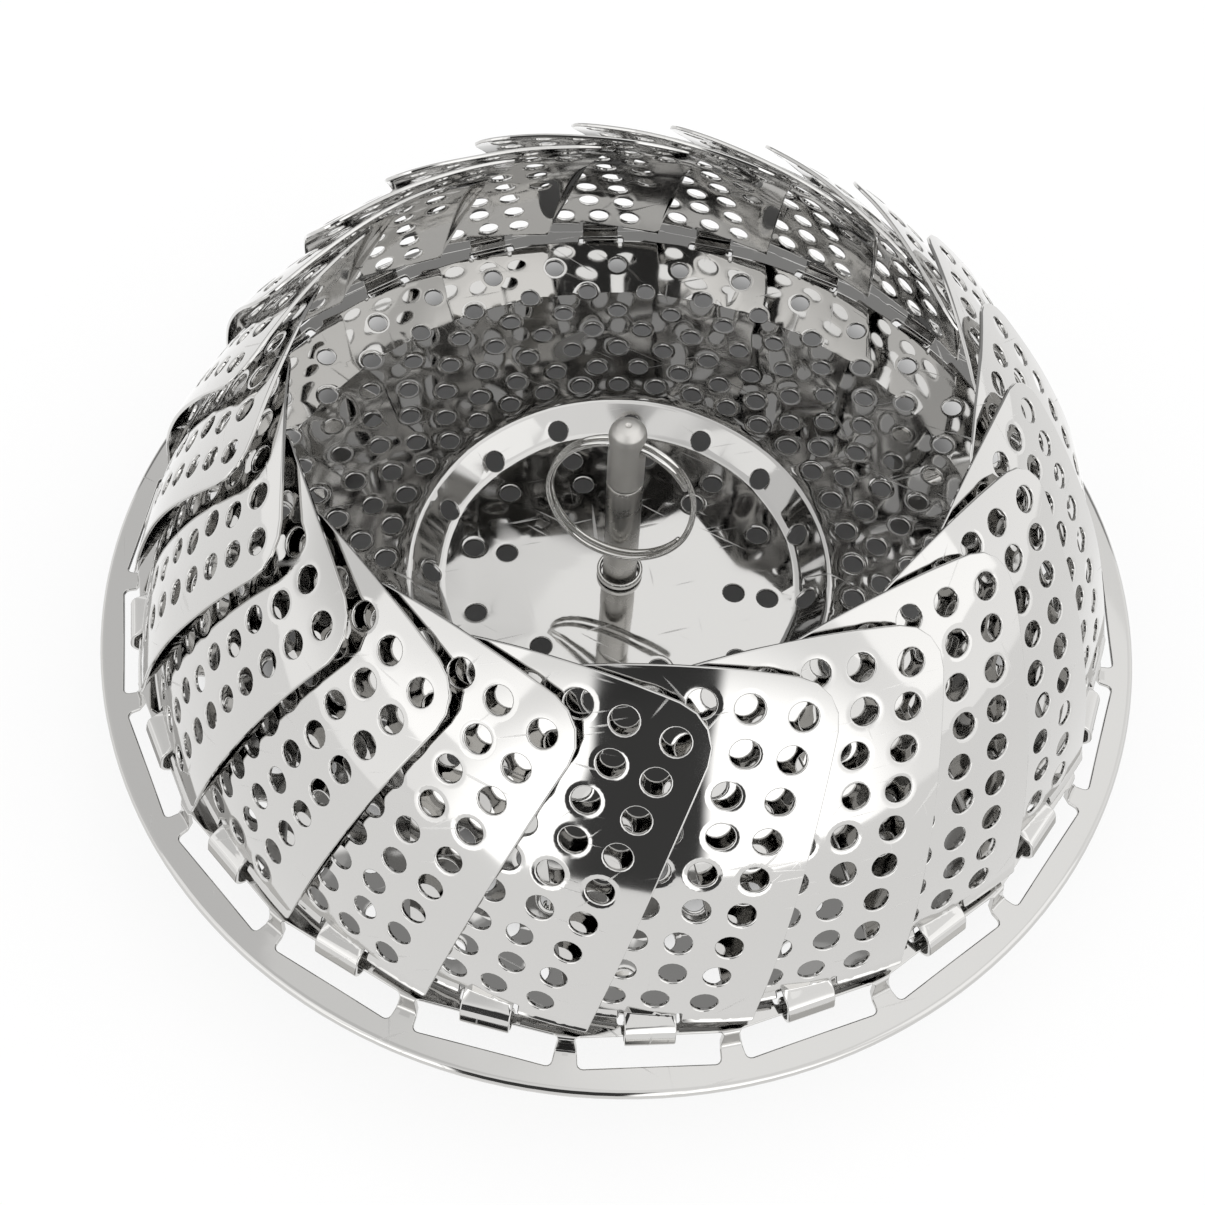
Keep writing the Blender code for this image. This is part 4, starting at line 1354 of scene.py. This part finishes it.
@dataclass
class CentrePost:
    """The screwed post: rod, blasted cap, eyelet on the dish, washer and nut below it.

    Attributes:
        rim_height, floor_drop, pan_sheet: height of the pan's rim, depth of its dish's floor, and its
            sheet.
        radius, shoulder: the post's radius, and the height over the rim at which the cap's dome starts.
        cap_length, dome, dimple: length of the cap below its dome, height of the dome, and radius of its
            dimple.
        stud, thread_pitch, thread_depth, stud_proud: the stud below the dish, its thread, and how far it
            stands out of the nut.
        spigot, spigot_length: radius and length of the rod's end in the cap.
        ring_hole, ring_hole_drop, ring_turn_deg: the cap's cross hole, its depth below the dome and
            direction.
        drill_length: length of the tool that cuts that hole, enough to pass through the cap.
        gap: room that is left between two pieces.
        eyelet_wall, eyelet_height: the eyelet.
        washer, washer_sheet: the washer's radius and thickness.
        nut_across, nut_height: the nut's width across its flats, and its height.
        cap_edge, nut_edge: width of the softened edges.
    """

    rim_height: float = 22.0
    radius: float = 2.6
    shoulder: float = 32.7
    cap_length: float = 10.4
    dome: float = 1.5
    dimple: float = 0.45
    stud: float = 1.8
    thread_pitch: float = 0.6
    thread_depth: float = 0.25
    spigot: float = 1.5
    spigot_length: float = 4.0
    ring_hole: float = 1.606
    ring_hole_drop: float = 2.1
    ring_turn_deg: float = -13.0
    gap: float = 0.3
    floor_drop: float = 0.8
    pan_sheet: float = 0.6
    eyelet_wall: float = 0.6
    eyelet_height: float = 1.1
    washer: float = 5.2
    washer_sheet: float = 0.6
    nut_across: float = 7.0
    nut_height: float = 2.6
    stud_proud: float = 0.6
    drill_length: float = 8.0
    cap_edge: float = 0.12
    nut_edge: float = 0.06

    def build(self) -> None:
        """Builds the post's pieces."""
        steel = TURNED_ROD.material()
        bright = DRAWN_WIRE.material()
        floor = self.rim_height - self.floor_drop
        joint = self.rim_height + self.shoulder - self.cap_length
        under = floor - self.pan_sheet
        stud_end = under - 3 * self.gap - self.washer_sheet - self.nut_height - self.stud_proud
        carried(self.rod(floor + self.gap, joint, stud_end, steel), "pan", "post_rod")
        carried(self.cap(joint + self.gap), "pan", "post_cap")
        carried(self.eyelet(floor + self.gap, bright), "pan", "post_eyelet")
        high = under - self.gap
        low = high - self.washer_sheet
        bore = self.stud + self.gap
        disc = lathe("washer", closed([
            (bore, high, 0.1), (self.washer, high, 0.15), (self.washer, low, 0.15), (bore, low, 0.1),
        ]), bright)
        carried(disc, "pan", "post_washer")
        carried(self.nut(low - self.gap, bore, bright), "pan", "post_nut")

    def rod(self, foot: float, joint: float, stud_end: float, steel: bpy.types.Material) -> bpy.types.Object:
        """Makes the rod, with its threaded stud and the spigot inside the cap.

        Args:
            foot: height of its shoulder on the dish.
            joint: height where the cap starts.
            stud_end: height of the stud's end.
            steel: its finish.

        Returns:
            The object.
        """
        profile = [
            (0.0, joint + self.spigot_length, 0.0), (self.spigot, joint + self.spigot_length, 0.2),
            (self.spigot, joint, 0.05), (self.radius, joint, 0.3), (self.radius, foot, 0.2),
            (self.stud, foot, 0.05),
        ]
        thread = math.floor((foot - stud_end) / self.thread_pitch * 2)
        for step in range(1, thread):
            depth = self.thread_depth if step % 2 else 0.0
            profile.append((self.stud - depth, foot - step * self.thread_pitch / 2, 0.04))
        profile += [(self.stud - self.thread_depth, stud_end, 0.1), (0.0, stud_end, 0.0)]
        return lathe("rod", profile, steel)

    def cap(self, base: float) -> bpy.types.Object:
        """Makes the domed cap, cross-drilled for the ring.

        Args:
            base: height of its lower end.

        Returns:
            The object.
        """
        shoulder = self.rim_height + self.shoulder
        top = shoulder + self.dome
        bore = self.spigot + self.gap
        # The dome's corners lie at shares of the post's radius and of the dome's height.
        cap = lathe("cap", [
            (0.0, top - self.dimple / 2, 0.0), (self.dimple / 2, top - self.dimple / 2, 0.15),
            (self.dimple, top, 0.1), (self.radius * 0.55, top - self.dome * 0.12, 1.0),
            (self.radius * 0.93, shoulder + self.dome * 0.3, 0.7), (self.radius, shoulder - 0.4, 0.5),
            (self.radius, base, 0.25), (bore, base, 0.1), (bore, base + self.spigot_length, 0.1),
            (0.0, base + self.spigot_length, 0.0),
        ], BLASTED_CAP.material())
        height = (shoulder - self.ring_hole_drop) * MM
        lay = Matrix.Rotation(math.radians(self.ring_turn_deg), 4, "Z") @ Matrix.Rotation(math.pi / 2, 4, "Y")
        drill = bar("drill", self.ring_hole, self.drill_length, sides=40,
                    matrix=Matrix.Translation((0, 0, height)) @ lay, material=cap.data.materials[0])
        cut_with(cap, drill)
        soften_edges(cap, self.cap_edge)
        return cap

    def eyelet(self, low: float, bright: bpy.types.Material) -> bpy.types.Object:
        """Makes the eyelet, a rolled ring round the rod's foot.

        Args:
            low: height of its underside.
            bright: its finish.

        Returns:
            The object.
        """
        inner = self.radius + self.gap
        outer = inner + self.eyelet_wall
        high = low + self.eyelet_height
        return lathe("eyelet", closed([
            (inner, high, 0.28), (outer, high, 0.28), (outer, low, 0.1), (inner, low, 0.05),
        ]), bright)

    def nut(self, top: float, bore: float, bright: bpy.types.Material) -> bpy.types.Object:
        """Makes the hexagon nut, chamfered at both faces.

        Args:
            top: height of its upper face.
            bore: radius of its bore.
            bright: its finish.

        Returns:
            The object.
        """
        corner = self.nut_across / 2 / math.cos(math.pi / 6)
        low = top - self.nut_height
        middle = Matrix.Translation((0, 0, (top + low) / 2 * MM))
        nut = bar("nut", corner, self.nut_height, sides=6, matrix=middle, material=bright)
        chamfer = (corner - self.nut_across / 2) * math.tan(math.pi / 6)
        clear = corner + 0.05
        trim = lathe("trim", [
            (0.0, top, 0.0), (self.nut_across / 2, top, 0.0), (clear, top - chamfer, 0.0),
            (clear, low + chamfer, 0.0), (self.nut_across / 2, low, 0.0), (0.0, low, 0.0),
        ], bright)
        cut_with(nut, trim, "INTERSECT")
        cut_with(nut, bar("drill", bore, self.nut_height * 2, sides=48, matrix=middle, material=bright))
        soften_edges(nut, self.nut_edge)
        return nut


@dataclass
class SplitRing:
    """The split ring: one wire wound twice, with its ends on the two sides of the step.

    Attributes:
        outer, wire: the ring's diameter and the wire's.
        coil_gap: room between two turns.
        turns, step_share: number of turns, and the part of a turn in which the wire steps to the next.
        post_radius, gap: the post that the ring rests on, and the room left there.
        end_round: rounding of the wire's ends.
        per_turn, sides: points in a turn, and sides of the wire.
        sharp_deg: edges of the wire that turn by more than this are sharp.
        radius: radius of the wire's centre line.
    """

    outer: float = 21.6
    wire: float = 0.85
    coil_gap: float = 0.43
    turns: int = 2
    step_share: float = 1 / 6
    post_radius: float = 2.6
    gap: float = 0.3
    end_round: float = 0.12
    per_turn: int = 120
    sides: int = 20
    sharp_deg: float = 50.0
    radius: float = field(init=False)

    def __post_init__(self) -> None:
        """Works out the radius of the centre line."""
        self.radius = (self.outer - self.wire) / 2

    def centre_line(self) -> np.ndarray:
        """Winds the wire's centre line in its own frame: in XZ, with its turns side by side along Y.

        Returns:
            (n, 3) points.
        """
        pitch = self.wire + self.coil_gap
        start = self.step_share / 2
        count = round((self.turns - self.step_share) * self.per_turn)
        turn = start + np.arange(count + 1) / self.per_turn
        level = np.zeros(len(turn))
        for step in range(1, self.turns):
            share = np.clip((turn - step) / self.step_share + 0.5, 0, 1)
            level += share * share * (3 - 2 * share)
        along = (level - (self.turns - 1) / 2) * pitch
        round_way = directions(math.tau * turn) * self.radius
        return np.stack([round_way[:, 0], along, round_way[:, 1]], axis=1)

    def build(self) -> None:
        """Hangs the ring in the cap's cross hole."""
        half_bundle = (self.turns - 1) * (self.wire + self.coil_gap) / 2 + self.wire / 2
        hang = math.asin((self.post_radius + self.gap + half_bundle) / (2 * self.radius))
        joint = joint_of("ring")
        axis = Vector(joint["axis"])
        turn = Matrix.Rotation(math.atan2(-axis.y, -axis.x), 3, "Z") @ Matrix.Rotation(-hang, 3, "X")
        line = self.centre_line() - (0, 0, self.radius)
        line = line @ np.array(turn).T + np.array(Vector(joint["pos_m"]) / MM)
        square = np.array(turn) @ (0, 1, 0)
        ring = add_piece("split_ring_wire", self.tube(line, square), DRAWN_WIRE.material())
        carried(ring, "ring", "split_ring")

    def tube(self, line: np.ndarray, square: np.ndarray) -> bpy.types.Mesh:
        """Makes the wire round its centre line, with softened ends.

        Args:
            line: (n, 3) centre line.
            square: direction of the coil's axis.

        Returns:
            The mesh.
        """
        along = np.gradient(line, axis=0)
        along /= np.linalg.norm(along, axis=1, keepdims=True)
        out = np.cross(along, square)
        out /= np.linalg.norm(out, axis=1, keepdims=True)
        other = np.cross(along, out)
        radius = np.full(len(line), self.wire / 2)
        line[1] = line[0] + along[0] * self.end_round
        line[-2] = line[-1] - along[-1] * self.end_round
        radius[[0, -1]] -= self.end_round
        turns = np.arange(self.sides) * math.tau / self.sides
        points = line[:, None] + radius[:, None, None] * (
            np.cos(turns)[None, :, None] * out[:, None] + np.sin(turns)[None, :, None] * other[:, None])
        points = points.reshape(-1, 3)
        faces = [
            (row * self.sides + at, row * self.sides + (at + 1) % self.sides,
             (row + 1) * self.sides + (at + 1) % self.sides, (row + 1) * self.sides + at)
            for row in range(len(line) - 1) for at in range(self.sides)
        ]
        faces.append(tuple(range(self.sides))[::-1])
        faces.append(tuple(range(len(points) - self.sides, len(points))))
        mesh = mesh_of("split_ring_wire", points, faces)
        bm = bmesh.new()
        bm.from_mesh(mesh)
        bmesh.ops.recalc_face_normals(bm, faces=bm.faces)
        bm.to_mesh(mesh)
        bm.free()
        mesh.set_sharp_from_angle(angle=math.radians(self.sharp_deg))
        return mesh


@dataclass
class FoldingLegs:
    """Three strip legs, each rolled round a pin in a bent bracket under the pan.

    Attributes:
        count: number of legs.
        sheet, top_width, foot_width, foot_length: the strip's thickness, its widths and its foot.
        ankle_round, toe_share: radius of the bend at the foot, and the toe's rounding as a share of half
            its width.
        pin, head, head_height: radii of the pin and of its heads, and their height.
        gap, swing_gap: room round the pin, and behind the rolled end for the fold.
        pivot_height, splay_deg: height of the pin over the table, and the leg's outward slope.
        barrel_mouth_deg: opening that the rolled end leaves.
        strip_step, roll_step_deg, strip_columns: steps along the strip and round its roll, and points
            across it.
        bracket_top, bracket_sheet, bracket_reach, bracket_skirt, bracket_bend: the bracket's top over the
            table, its sheet, its length inward of the pin, its depth below the pin, and the rounding of its
            bends.
        edge, bracket_edge: width of the softened edges.
        past: how far a cutting tool reaches past what it cuts.
        toe_turns_deg: turns at which the rounded toe has points.
    """

    count: int = 3
    sheet: float = 0.8
    pin: float = 0.8
    gap: float = 0.3
    swing_gap: float = 0.6
    pivot_height: float = 19.5
    splay_deg: float = 8.0
    top_width: float = 11.0
    foot_width: float = 9.0
    foot_length: float = 4.5
    ankle_round: float = 1.4
    barrel_mouth_deg: float = 40.0
    bracket_top: float = 22.5
    bracket_sheet: float = 0.8
    bracket_reach: float = 3.0
    bracket_skirt: float = 2.2
    bracket_bend: float = 0.7
    head: float = 1.4
    head_height: float = 0.6
    toe_share: float = 0.55
    strip_step: float = 1.5
    roll_step_deg: float = 8.0
    strip_columns: int = 9
    edge: float = 0.14
    bracket_edge: float = 0.12
    past: float = 3.0
    toe_turns_deg: ClassVar[tuple[float, ...]] = (90.0, 75.0, 55.0, 35.0, 15.0)

    def strip(self) -> tuple[np.ndarray, np.ndarray]:
        """Draws a leg's middle line, from the toe to the barrel's end.

        Returns:
            The (n, 2) points of that line, and the strip's half width at each.
        """
        barrel = self.pin + self.gap + self.sheet / 2
        splay = math.radians(self.splay_deg)
        side = np.array((math.cos(splay), math.sin(splay)))
        down = np.array((math.sin(splay), -math.cos(splay)))
        ankle_height = self.sheet / 2 - self.pivot_height
        run = (-ankle_height + side[1] * barrel) / math.cos(splay)
        ankle = side * barrel + down * run
        toe = ankle + (self.foot_length, 0)
        strip = filleted([(*toe, 0.0), (*ankle, self.ankle_round), (*(side * barrel), 0.0)], step_deg=9.0)
        toe_end = self.foot_width / 2 * self.toe_share
        toe_turns = np.radians(self.toe_turns_deg)
        strip = np.vstack([
            [toe - (toe_end * (1 - math.sin(turn)), 0) for turn in toe_turns],
            divided(strip[1:], self.strip_step),
        ])
        step = self.roll_step_deg
        turns = splay + np.radians(np.arange(step, 360.0 - self.barrel_mouth_deg, step))
        line = np.vstack([strip, barrel * directions(turns)])
        rise = np.clip((line[:, 1] - ankle_height) / -ankle_height, 0, 1)
        half = (self.foot_width + (self.top_width - self.foot_width) * rise) / 2
        for at, turn in enumerate(toe_turns):
            half[at] -= toe_end * (1 - math.cos(turn))
        return line, half

    def leg(self, material: bpy.types.Material) -> bpy.types.Object:
        """Makes one leg about its pin's axis, which is Y.

        Args:
            material: its finish.

        Returns:
            The object.
        """
        line, half = self.strip()
        shares = np.linspace(-1, 1, self.strip_columns)
        points = [(x, width * share, z) for (x, z), width in zip(line, half) for share in shares]
        wide = len(shares)
        faces = [
            (row * wide + at, row * wide + at + 1, (row + 1) * wide + at + 1, (row + 1) * wide + at)
            for row in range(len(line) - 1) for at in range(wide - 1)
        ]
        leg = add_piece("leg", mesh_of("leg", np.array(points), faces), material)
        shell = leg.modifiers.new("sheet", "SOLIDIFY")
        shell.thickness = self.sheet * MM
        shell.offset = 0.0
        shell.use_even_offset = True
        with_modifiers(leg)
        soften_edges(leg, self.edge)
        return leg

    def bracket(self, material: bpy.types.Material) -> bpy.types.Object:
        """Makes one bracket about its pin's axis: roof, two ears and a stop wall.

        Args:
            material: its finish.

        Returns:
            The object.
        """
        top = self.bracket_top - self.pivot_height
        inside_width = self.top_width + 2 * self.gap
        width = inside_width + 2 * self.bracket_sheet
        room = self.pin + self.gap + self.sheet + self.swing_gap
        back = room + self.bracket_sheet
        size = (self.bracket_reach + back, width, top + self.bracket_skirt)
        bracket = block("bracket", size, ((back - self.bracket_reach) / 2, 0, (top - self.bracket_skirt) / 2),
                        material)
        outer = bracket.modifiers.new("bend", "BEVEL")
        outer.width = self.bracket_bend * MM
        outer.segments = 4
        with_modifiers(bracket)
        roof = top - self.bracket_sheet
        low, front = self.bracket_skirt + self.past, self.bracket_reach + self.past
        hollow = block("hollow", (front + room, inside_width, roof + low),
                       ((room - front) / 2, 0, (roof - low) / 2), material)
        cut_with(bracket, hollow)
        lay = Matrix.Rotation(math.pi / 2, 4, "X")
        drill = bar("drill", self.pin + self.gap, width + self.past, sides=32, matrix=lay, material=material)
        cut_with(bracket, drill)
        soften_edges(bracket, self.bracket_edge)
        return bracket

    def pin_piece(self, material: bpy.types.Material) -> bpy.types.Object:
        """Makes one pin with domed heads, along Z.

        Args:
            material: its finish.

        Returns:
            The object.
        """
        half = self.top_width / 2 + self.gap + self.bracket_sheet + self.gap
        end = half + self.head_height
        return lathe("pin", [
            (0.0, end, 0.0), (self.head, end, 0.45), (self.head, half, 0.1), (self.pin, half, 0.05),
            (self.pin, -half, 0.05), (self.head, -half, 0.1), (self.head, -end, 0.45), (0.0, -end, 0.0),
        ], material, steps=36)

    def build(self) -> None:
        """Builds the legs, brackets and pins at their joints."""
        strip = MILL_STRIP.material()
        wire = DRAWN_WIRE.material()
        lay = Matrix.Rotation(math.pi / 2, 4, "X")
        for index in range(1, self.count + 1):
            joint = joint_of(f"leg_{index}")
            axis = Vector(joint["axis"])
            angle = math.atan2(-axis.x, axis.y)
            station = Matrix.Translation(joint["pos_m"]) @ Matrix.Rotation(angle, 4, "Z")
            pieces = (
                (self.leg(strip), station, f"leg_{index}", f"leg_{index}"),
                (self.bracket(strip), station, "pan", f"leg_bracket_{index}"),
                (self.pin_piece(wire), station @ lay, "pan", f"leg_pin_{index}"),
            )
            for piece, matrix, body, node in pieces:
                piece.name = f"{piece.name.split('.')[0]}_{index}"
                piece.data.transform(matrix)
                carried(piece, body, node)


@dataclass(frozen=True)
class Ramp:
    """A smooth change of one value over a range of another.

    Attributes:
        start, end: the range.
        low, high: the value at its two ends.
    """

    start: float
    end: float
    low: float = 0.0
    high: float = 1.0

    def inputs(self, value: bpy.types.NodeSocket) -> dict[str | int, Any]:
        """Fills a Map Range node.

        Args:
            value: the socket whose value runs over the range.

        Returns:
            The node's inputs.
        """
        return {
            "Value": value, "From Min": self.start, "From Max": self.end,
            "To Min": self.low, "To Max": self.high,
        }


@dataclass(frozen=True)
class Lamp:
    """A soft square lamp that looks at the insert.

    Attributes:
        name: its name.
        place: where it is, in metres.
        size: its side, in metres.
        power: its power, in watts.
    """

    name: str
    place: tuple[float, float, float]
    size: float
    power: float

    def build(self) -> None:
        """Adds the lamp."""
        data = bpy.data.lights.new(self.name, "AREA")
        data.shape = "SQUARE"
        data.size = self.size
        data.energy = self.power
        lamp = bpy.data.objects.new(self.name, data)
        bpy.context.scene.collection.objects.link(lamp)
        turn = (-Vector(self.place)).to_track_quat("-Z", "Y").to_matrix().to_4x4()
        lamp.matrix_world = Matrix.Translation(self.place) @ turn
        lamp.visible_camera = False


@dataclass
class Studio:
    """The camera at the photograph's viewing angle, a pale floor and soft light from all round.

    Attributes:
        frame_px: width of the photograph.
        focal_px: focal length in its pixels.
        sensor: width of the camera's sensor, in millimetres.
        distance: distance of the camera from the middle of the rim's plane.
        rim_height: height of that plane.
        elevation_deg: height of the view above it.
        yaw_deg, pitch_deg, roll_deg: turns of the camera off that middle.
        near: nearest distance that the camera sees.
        lamps: the soft lamps.
        sky: level of the white surroundings, over the height of the direction.
        front: what is added to it toward the front, over the direction's Y.
        side_way, side: direction in which a side is dimmer, and its share of light over the nearness to
            that.
        back: share of light toward the back, over the direction's Y.
        gap_deg, gap_width, gap_front: the dark gap in the surroundings: its direction, its depth over the
            distance from that direction, and over the direction's Y.
        gap_level: share of light in the gap.
        seen_level, mirrored_level: brightness of the table to the camera and in reflections.
        table_colour: colour of the table top where the light falls on it.
        table_size: half the side of the table.
        shade, shade_back: the shade painted on the table by dimming its glow over the distance from its
            middle,
        in metres, and how far that lies to the back, away from the front light.
    """

    frame_px: float = 1205.0
    focal_px: float = 1351.0
    sensor: float = 36.0
    distance: float = 207.7
    rim_height: float = 22.0
    elevation_deg: float = 56.07
    yaw_deg: float = -0.64
    pitch_deg: float = -1.44
    roll_deg: float = 2.55
    near: float = 5.0
    lamps: tuple[Lamp, ...] = (
        Lamp("soft_left", (-1.2, -0.7, 0.9), 1.0, 1.5),
        Lamp("soft_right", (1.3, -0.5, 0.9), 1.0, 1.2),
        Lamp("soft_top", (0.3, 0.4, 1.5), 1.2, 0.8),
    )
    sky: Ramp = Ramp(0.0, 0.9, 1.38, 1.22)
    front: Ramp = Ramp(-0.64, -0.84, 0.0, 0.9)
    side_way: tuple[float, float, float] = (-0.66, 0.1, 0.75)
    side: Ramp = Ramp(0.70, 0.86, 1.0, 0.74)
    back: Ramp = Ramp(0.585, 0.62, 1.0, 0.3)
    gap_deg: float = -97.0
    gap_width: Ramp = Ramp(0.25, 0.21)
    gap_front: Ramp = Ramp(-0.60, -0.70)
    gap_level: float = 0.03
    seen_level: float = 0.78
    mirrored_level: float = 0.92
    table_colour: str = "#808080"
    table_size: float = 3000.0
    shade: Ramp = Ramp(0.060, 0.080)
    shade_back: float = 24.0

    def camera(self) -> None:
        """Places the camera."""
        up_angle = math.radians(self.elevation_deg)
        spot = Vector((0, -math.cos(up_angle), math.sin(up_angle)))
        forward = -spot
        right = Vector((1, 0, 0))
        up = right.cross(forward)
        yaw, pitch, roll = (math.radians(turn) for turn in (self.yaw_deg, self.pitch_deg, self.roll_deg))
        forward = forward * math.cos(yaw) * math.cos(pitch) + right * math.sin(yaw) + up * math.sin(pitch)
        forward.normalize()
        right = forward.cross(UP).normalized()
        up = right.cross(forward)
        across = right * math.cos(roll) + up * math.sin(roll)
        upward = up * math.cos(roll) - right * math.sin(roll)
        turn = Matrix((across, upward, -forward)).transposed().to_4x4()
        place = (spot * self.distance + UP * self.rim_height) * MM
        data = bpy.data.cameras.new("camera")
        data.sensor_width = self.sensor
        data.lens = self.focal_px / self.frame_px * self.sensor
        data.clip_start = self.near * MM
        camera = bpy.data.objects.new("camera", data)
        bpy.context.scene.collection.objects.link(camera)
        camera.matrix_world = Matrix.Translation(place) @ turn
        bpy.context.scene.camera = camera

    def world(self) -> None:
        """Surrounds the insert with a white studio that has one dark gap at the front."""
        world = bpy.data.worlds.new("studio")
        world.use_nodes = True
        tree = world.node_tree
        tree.nodes.clear()
        way = add_node(tree, "ShaderNodeTexCoord").outputs["Generated"]
        axes = add_node(tree, "ShaderNodeSeparateXYZ", {"Vector": way}).outputs
        gap_turn = math.radians(self.gap_deg + 90)
        toward, across = (
            add_node(tree, "ShaderNodeVectorMath", {0: way, 1: to}, operation="DOT_PRODUCT").outputs["Value"]
            for to in (self.side_way, (math.cos(gap_turn), math.sin(gap_turn), 0.0))
        )
        off_gap = add_node(tree, "ShaderNodeMath", {0: across}, operation="ABSOLUTE").outputs[0]
        sky, front, side, back, gap_width, gap_front = (
            add_node(tree, "ShaderNodeMapRange", ramp.inputs(value),
                     interpolation_type="SMOOTHSTEP").outputs["Result"]
            for ramp, value in (
                (self.sky, axes["Z"]), (self.front, axes["Y"]), (self.side, toward), (self.back, axes["Y"]),
                (self.gap_width, off_gap), (self.gap_front, axes["Y"]),
            )
        )
        dim = add_node(tree, "ShaderNodeMath", {0: side, 1: back}, operation="MULTIPLY").outputs[0]
        light = add_node(tree, "ShaderNodeMath", {
            0: sky, 1: dim, 2: front,
        }, operation="MULTIPLY_ADD").outputs[0]
        gap = add_node(tree, "ShaderNodeMath", {0: gap_width, 1: gap_front}, operation="MULTIPLY").outputs[0]
        dark = add_node(tree, "ShaderNodeMath", {
            0: gap, 1: self.gap_level - 1, 2: 1.0,
        }, operation="MULTIPLY_ADD").outputs[0]
        level = add_node(tree, "ShaderNodeMath", {0: light, 1: dark}, operation="MULTIPLY").outputs[0]
        around = add_node(tree, "ShaderNodeBackground", {"Color": linear("#FFFFFF"), "Strength": level})
        white = add_node(tree, "ShaderNodeBackground", {"Color": linear("#FFFFFF"), "Strength": 1.0})
        seen = add_node(tree, "ShaderNodeLightPath").outputs["Is Camera Ray"]
        mixed = add_node(tree, "ShaderNodeMixShader", {
            0: seen, 1: around.outputs["Background"], 2: white.outputs["Background"],
        })
        add_node(tree, "ShaderNodeOutputWorld", {"Surface": mixed.outputs["Shader"]})
        bpy.context.scene.world = world

    def floor(self) -> None:
        """Lays a white table top that keeps a faint shadow, and paints shade under the insert by dimming its
        glow there.
        """
        material = bpy.data.materials.new("table_top_white_matte")
        material.use_nodes = True
        tree = material.node_tree
        tree.nodes.clear()
        path = add_node(tree, "ShaderNodeLightPath").outputs
        mirrored = add_node(tree, "ShaderNodeMath", {
            0: path["Is Glossy Ray"], 1: self.mirrored_level,
        }, operation="MULTIPLY").outputs[0]
        seen = add_node(tree, "ShaderNodeMath", {
            0: path["Is Camera Ray"], 1: self.seen_level, 2: mirrored,
        }, operation="MULTIPLY_ADD").outputs[0]
        place = add_node(tree, "ShaderNodeTexCoord").outputs["Object"]
        # Painted shade: the table's glow fades out in a disc under the insert, set back from the front light.
        from_shade = add_node(tree, "ShaderNodeVectorMath", {
            0: place, 1: (0.0, self.shade_back * MM, 0.0),
        }, operation="DISTANCE").outputs["Value"]
        outside_painted_shade = add_node(tree, "ShaderNodeMapRange", self.shade.inputs(from_shade),
                              interpolation_type="SMOOTHSTEP").outputs["Result"]
        strength = add_node(tree, "ShaderNodeMath", {0: outside_painted_shade, 1: seen}, operation="MULTIPLY").outputs[0]
        lit = add_node(tree, "ShaderNodeBsdfDiffuse", {"Color": linear(self.table_colour)})
        glow = add_node(tree, "ShaderNodeEmission", {"Color": linear("#FFFFFF"), "Strength": strength})
        both = add_node(tree, "ShaderNodeAddShader", {0: lit.outputs["BSDF"], 1: glow.outputs["Emission"]})
        add_node(tree, "ShaderNodeOutputMaterial", {"Surface": both.outputs["Shader"]})
        bm = bmesh.new()
        bmesh.ops.create_grid(bm, x_segments=1, y_segments=1, size=self.table_size * MM)
        add_piece("table_top", mesh_from(bm, "table_top"), material)

    def build(self) -> None:
        """Sets up the camera, the light and the floor."""
        self.camera()
        self.world()
        self.floor()
        for lamp in self.lamps:
            lamp.build()
        bpy.context.scene.view_settings.view_transform = "Standard"
        log.info("studio: camera, world, table top and %d soft lamps", len(self.lamps))


def main() -> None:
    """Builds the studio and the steamer insert."""
    logging.basicConfig(level=logging.INFO, format="%(name)s: %(message)s")
    Studio().build()
    Pan().build()
    LeafRing().build()
    CentrePost().build()
    SplitRing().build()
    FoldingLegs().build()


if __name__ == "__main__":
    main()
